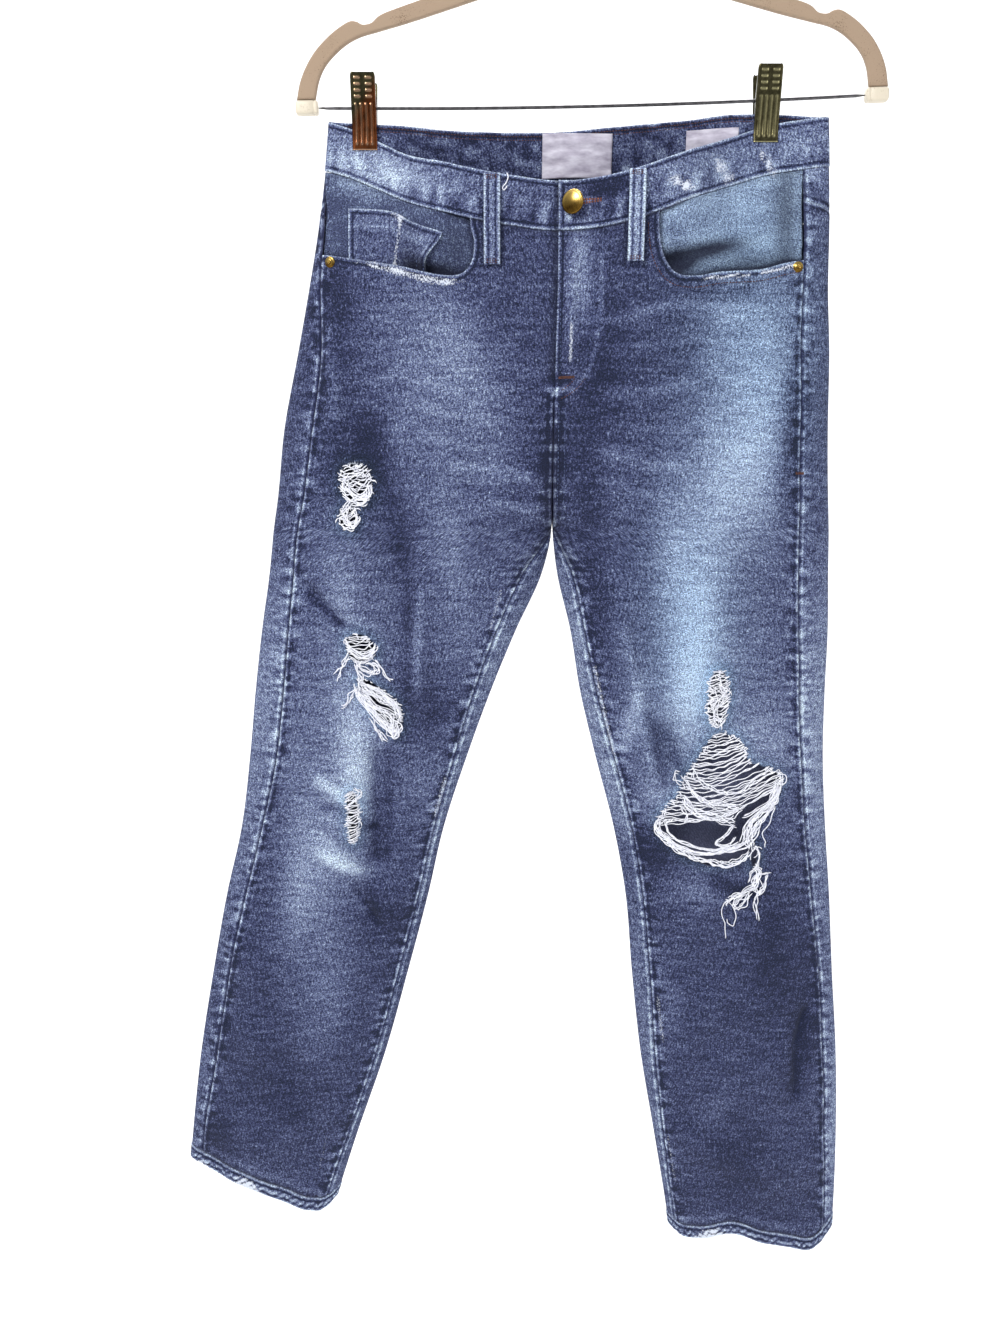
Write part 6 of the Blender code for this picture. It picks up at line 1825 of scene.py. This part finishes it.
# round the section: distance in from the outer edge, or from the inner one where negative, and y
corner = [(0.0, -0.8), (0.12, -1.5), (0.6, -2.1), (ARM_ROUND, -2.45), (2.4, -2.5)]
profile = corner + [(-inset, y) for inset, y in corner[::-1]]
profile = profile + [(inset, -y) for inset, y in profile[::-1]]
rings = []
for number, (inset, y) in enumerate(profile):
    by_outer = number < len(corner) or number >= 3 * len(corner)
    point = (outer_edge if by_outer else inner_edge) + inward * inset
    rings.append(np.column_stack([point[:, 0], np.full(len(point), y), point[:, 1]]))
rings = np.stack(rings, axis=1)
flock = plastic("beige_flock", "a08a74", "7a6551", 0.95, 0.9, 0.25, sheen=0.1)
make_mesh("flocked_arms", rings.reshape(-1, 3), loft(*rings.shape[:2]), flock,
          ["hanger_arms"])

steel_wire = steel("drawn_steel", "6b696a", "4a4849", 0.30)
bar_line = [bar_point(along) for along in np.linspace(-BAR_HALF, BAR_HALF, 60)]
tubes("steel_bar", [bar_line], BAR_RADIUS, 14, steel_wire, ["hanger_bar"])

neck_x, neck_z = on_bar(0, 118.3)
hook_line = [(neck_x, neck_z), (neck_x * 0.9, -85), (neck_x * 0.6, -62), (1.5, -50), (6, -42), (12, -35)]
HOOK_CENTRE = HOOK_WIRE - HOOK_RADIUS
for angle in np.radians(range(-35, 196, 15)):
    hook_line.append((HOOK_RADIUS * math.cos(angle), HOOK_CENTRE + HOOK_RADIUS * math.sin(angle)))
hook_line = np.insert(curve_through(hook_line, 150), 1, 0.0, axis=1)
hook_chrome = steel("chromed_wire", "d8d9dc", "b4b6bb", 0.10)
tubes("wire_hook", [hook_line], HOOK_WIRE, 18, hook_chrome, ["hanger_hook"])

# distance out from the bar's end, and the size there against the full section
CAP_STATIONS = [(0.0, 0.80), (0.5, 0.92), (1.2, 0.98), (2.4, 0.98), (2.6, 0.92), (3.1, 0.92), (3.3, 0.99),
                (8.0, 1.0), (13.5, 1.0), (15.2, 0.97), (16.1, 0.90), (16.6, 0.74)]
cap_plastic = plastic("cream_moulded_cap", "d6cbb6", "c4b7a0", 0.42, 1.6, 0.05)
cap_faces = loft(len(CAP_STATIONS), CAP_SIDES)
for side, way in OUTWARDS.items():
    points = []
    for out, size in CAP_STATIONS:
        for angle in math.tau * np.arange(CAP_SIDES) / CAP_SIDES:
            across, up = (half * size * np.sign(value) * abs(value) ** 0.45 for half, value in
                          ((CAP_DEPTH / 2, math.cos(angle)), (CAP_HEIGHT / 2, math.sin(angle))))
            x, z = on_bar(way * (BAR_HALF + 0.4 + out), up, lean=0)
            points.append((x, across, z))
    faces = cap_faces if way > 0 else [face[::-1] for face in cap_faces]
    make_mesh(side + "_end_cap", points, faces, cap_plastic, [side + "_bar_cap"])


# ---------------------------------------------------------------- clips
# Two brass-plated spring clips. Each jaw is a strip of sheet folded into side ears, with a long ribbed plate
# that bites the waistband and a short one above the bar to pinch, ribbed crosswise for the fingers.
CLIP_HALF_WIDTH = 8.9
JAW_WALL = 0.8
# height above the bar, distance of the plate from the middle, and depth of its side ears
JAW_SECTIONS = {
    "front": [(22.0, 9.2, 1.0), (7.0, 7.2, 3.2), (0.0, 6.2, 4.4), (-7.0, 5.0, 2.6), (-14.0, 3.8, 0.9),
              (-20.0, 3.35, 0.6), (-29.8, 3.35, 0.6)],
    "back": [(20.0, 9.2, 1.0), (7.0, 7.2, 3.2), (0.0, 5.9, 4.1), (-5.0, 4.6, 2.2), (-9.5, 3.45, 0.6),
             (-20.0, 3.35, 0.6), (-32.5, 3.35, 0.6)],
}
# columns of a side ear from its free edge: distance inside the half width, share of its depth, and drop
EAR_COLUMNS = [(0.0, 1.0, 0.0), (0.0, 0.45, 0.0), (0.06, 0.0, 0.45), (0.3, 0.0, 0.12)]
PLATE_COLUMNS = 46
RIB_PITCH = 3.85
BAR_PITCH = 4.1
BARS_FROM = 3.9
BAR_COLUMN = 4.3          # from the middle of the plate to the middle of each column of bars
COIL_TURNS, COIL_LENGTH, COIL_RADIUS, COIL_WIRE = 9, 11.2, 2.55, 0.42


def from_relief(across, up):
    """Distance from the nearest rib and bar of a jaw, and where ribs and bars are."""
    from_rib = ((across / RIB_PITCH) % 1.0 - 0.5) * RIB_PITCH
    from_bar = (((up - BARS_FROM) / BAR_PITCH) % 1.0 - 0.5) * BAR_PITCH
    return (from_rib, np.abs(across) < 2 * RIB_PITCH,
            from_bar, (up > BARS_FROM) & (up < BARS_FROM + 4 * BAR_PITCH))


def pressed(across, up, low):
    """The pressed relief of a jaw: four long ribs below, and two columns of short bars above them."""
    from_rib, ribbed, from_bar, barred = from_relief(across, up)
    long_end = np.clip((up - (low + 3.2)) / 1.2, 0, 1) * np.clip((2.0 - up) / 1.2, 0, 1)
    ribs = np.clip(1 - (from_rib / 1.15) ** 2, 0, 1) ** 0.5 * ribbed
    bars = np.clip(1 - (from_bar / 0.85) ** 2, 0, 1) ** 0.5
    bars = bars * np.clip((2.4 - np.abs(np.abs(across) - BAR_COLUMN)) / 0.5, 0, 1) * barred
    return 0.42 * ribs * long_end + 0.38 * bars


def highlight_and_rubbed_mask(across, up, low):
    """Where a jaw has painted highlights, which also stand for metal worn bright: its bars, the crests and
    ends of its ribs, and its lip.
    """
    from_rib, ribbed, from_bar, barred = from_relief(across, up)
    crests = 0.34 * bump(from_rib, 0.5) * ribbed * ((up > low + 3.4) & (up < 1.6))
    ends = bump(from_rib, 0.7) * ribbed * (0.6 * bump(up - low - 4.0, 0.8) + 0.2 * bump(up - 1.2, 0.8))
    bars = 0.85 * bump(from_bar, 0.6) * (np.abs(np.abs(across) - BAR_COLUMN) < 2.3) * barred
    return np.clip(crests + ends + bars + 0.85 * (up < low + 0.7), 0, 1)


clip_brass = brass("brass_plated_steel", "57523a", "3a3624", 0.28, 0.12, highlight_and_rubbed="bfb788")
# the right clip's front plate carries a painted brown reflection low down
painted_reflection_brass = brass("brass_with_painted_brown_reflection", "4c4831", "343020", 0.26, 0.12, highlight_and_rubbed="c8a283",
                    painted_below=("67391f", "452613"))
ear = len(EAR_COLUMNS)
plate_x = np.linspace(-CLIP_HALF_WIDTH + 0.7, CLIP_HALF_WIDTH - 0.7, PLATE_COLUMNS)
for side, centre in CLIP_X.items():
    bar_height = bar_point(centre - BAR_CENTRE[0])[2]
    for layer, way in (("front", 1), ("back", -1)):
        rows = JAW_SECTIONS[layer]
        low, high = rows[-1][0], rows[0][0]
        up = np.concatenate([[low, low + 0.25], np.arange(low + 0.9, high - 0.5, 0.62), [high - 0.25, high]])
        away = smooth_curve(rows, up, 1)
        ear_depth = smooth_curve(rows, up, 2)
        corner = np.clip((3.0 - (high - up)) / 3.0, 0, 1)
        narrow = 1 - 0.13 * (1 - np.sqrt(np.clip(1 - corner ** 2, 0, 1)))
        columns = []
        for column in range(-ear, PLATE_COLUMNS + ear):
            if 0 <= column < PLATE_COLUMNS:
                x = plate_x[column]
                y = away + pressed(np.full(len(up), x), up, low)
            else:
                from_edge = column + ear if column < 0 else PLATE_COLUMNS + ear - 1 - column
                inset, share, drop = EAR_COLUMNS[from_edge]
                x = (CLIP_HALF_WIDTH - inset) * (-1 if column < 0 else 1)
                y = away - ear_depth * share - drop
            columns.append(np.column_stack([centre + x * narrow, -way * y, bar_height + up]))
        points = np.stack(columns, axis=1)
        vertices, faces = shell(points, JAW_WALL, way)[2:]
        # painted highlights on the bars, rib crests, rib ends and lip, standing also for metal worn bright
        raised = np.zeros((2, *points.shape))
        raised[0, ..., 0] = highlight_and_rubbed_mask((points[..., 0] - centre) / narrow[:, None], up[:, None], low)
        make_mesh("%s_clip_%s_plate" % (side, layer), vertices, faces,
                  painted_reflection_brass if (side, layer) == ("right", "front") else clip_brass,
                  ["%s_clip_%s_jaw" % (side, layer)], {"raised": raised.reshape(-1, 3)})
    turns = np.linspace(0, COIL_TURNS * math.tau, 260)
    coil = np.column_stack([centre - COIL_LENGTH / 2 + COIL_LENGTH * turns / turns[-1],
                            COIL_RADIUS * np.cos(turns), bar_height + COIL_RADIUS * np.sin(turns)])
    tubes(side + "_coil_spring", [coil], COIL_WIRE, 8, steel_wire, [side + "_clip_spring"])


# ---------------------------------------------------------------- floor, backdrop, lights and camera
# A studio corner: a matt floor that curves up into a pale wall, one large soft light in front, a little to
# the left, a weaker one on the right, and one on the wall.
def paper(name, dark, light):
    """Matt backdrop paper: pale, without gloss, and faintly clouded."""
    material, tree, shader = begin_material(name)
    cloud = add(tree, "TexNoise", {"Scale": 3.0, "Detail": 2.0}).outputs["Fac"]
    tone = add(tree, "ValToRGB", {0: cloud}, [(0.3, dark), (0.7, light)]).outputs[0]
    plug(tree, shader, {"Base Color": tone, "Roughness": 0.9})
    return material


FLOOR_HEIGHT = -1.62
WALL_BACK = 1.6
BACKDROP_HALF = 6.0
profile = [(-BACKDROP_HALF, FLOOR_HEIGHT), (WALL_BACK - 1.0, FLOOR_HEIGHT)]
for degrees in range(6, 91, 6):
    angle = math.radians(degrees)
    profile.append((WALL_BACK - 1.0 + math.sin(angle), FLOOR_HEIGHT + 1.0 - math.cos(angle)))
profile.append((WALL_BACK, 4.0))
backdrop = bpy.data.meshes.new("backdrop")
backdrop.from_pydata([(x, y, z) for x in (-BACKDROP_HALF, BACKDROP_HALF) for y, z in profile], [],
                     [(i, i + 1, i + 1 + len(profile), i + len(profile)) for i in range(len(profile) - 1)])
backdrop.shade_smooth()
backdrop.materials.append(paper("matt_paper", "f2f2f1", "f6f6f5"))
put("backdrop", backdrop)


def soft_light(name, place, target, size, power):
    """A white rectangular light at a place, turned to a target. Size is in metres and power in watts."""
    lamp = bpy.data.lights.new(name, "AREA")
    lamp.shape = "RECTANGLE"
    lamp.size, lamp.size_y = size
    lamp.energy = power
    holder = put(name, lamp)
    holder.location = place
    toward = np.array(target, float) - np.array(place, float)
    holder.rotation_euler = (math.atan2(math.hypot(toward[0], toward[1]), -toward[2]), 0,
                             math.atan2(toward[1], toward[0]) - math.pi / 2)


soft_light("key", (-1.3, -1.9, 1.0), (-0.05, 0, -0.7), (0.9, 0.9), 58)
soft_light("fill", (1.9, -1.7, -0.2), (0, 0, -0.7), (1.6, 2.2), 17)
soft_light("backdrop_light", (0.0, 0.9, 2.2), (0, 1.6, -0.8), (3.0, 0.8), 110)
world = bpy.data.worlds.new("studio")
world.use_nodes = True
plug(world.node_tree, world.node_tree.nodes["Background"], {"Color": linear("eef2fb"), "Strength": 0.50})
bpy.context.scene.world = world
bpy.context.scene.view_settings.view_transform = "Standard"

camera = put("camera", bpy.data.cameras.new("camera"))
camera.location = (-0.0665, -0.8259, -0.4818)
camera.rotation_euler = (math.radians(78), 0, 0)
camera.data.lens = 27.03
camera.data.sensor_width = 36
camera.data.clip_start = 0.01
bpy.context.scene.camera = camera
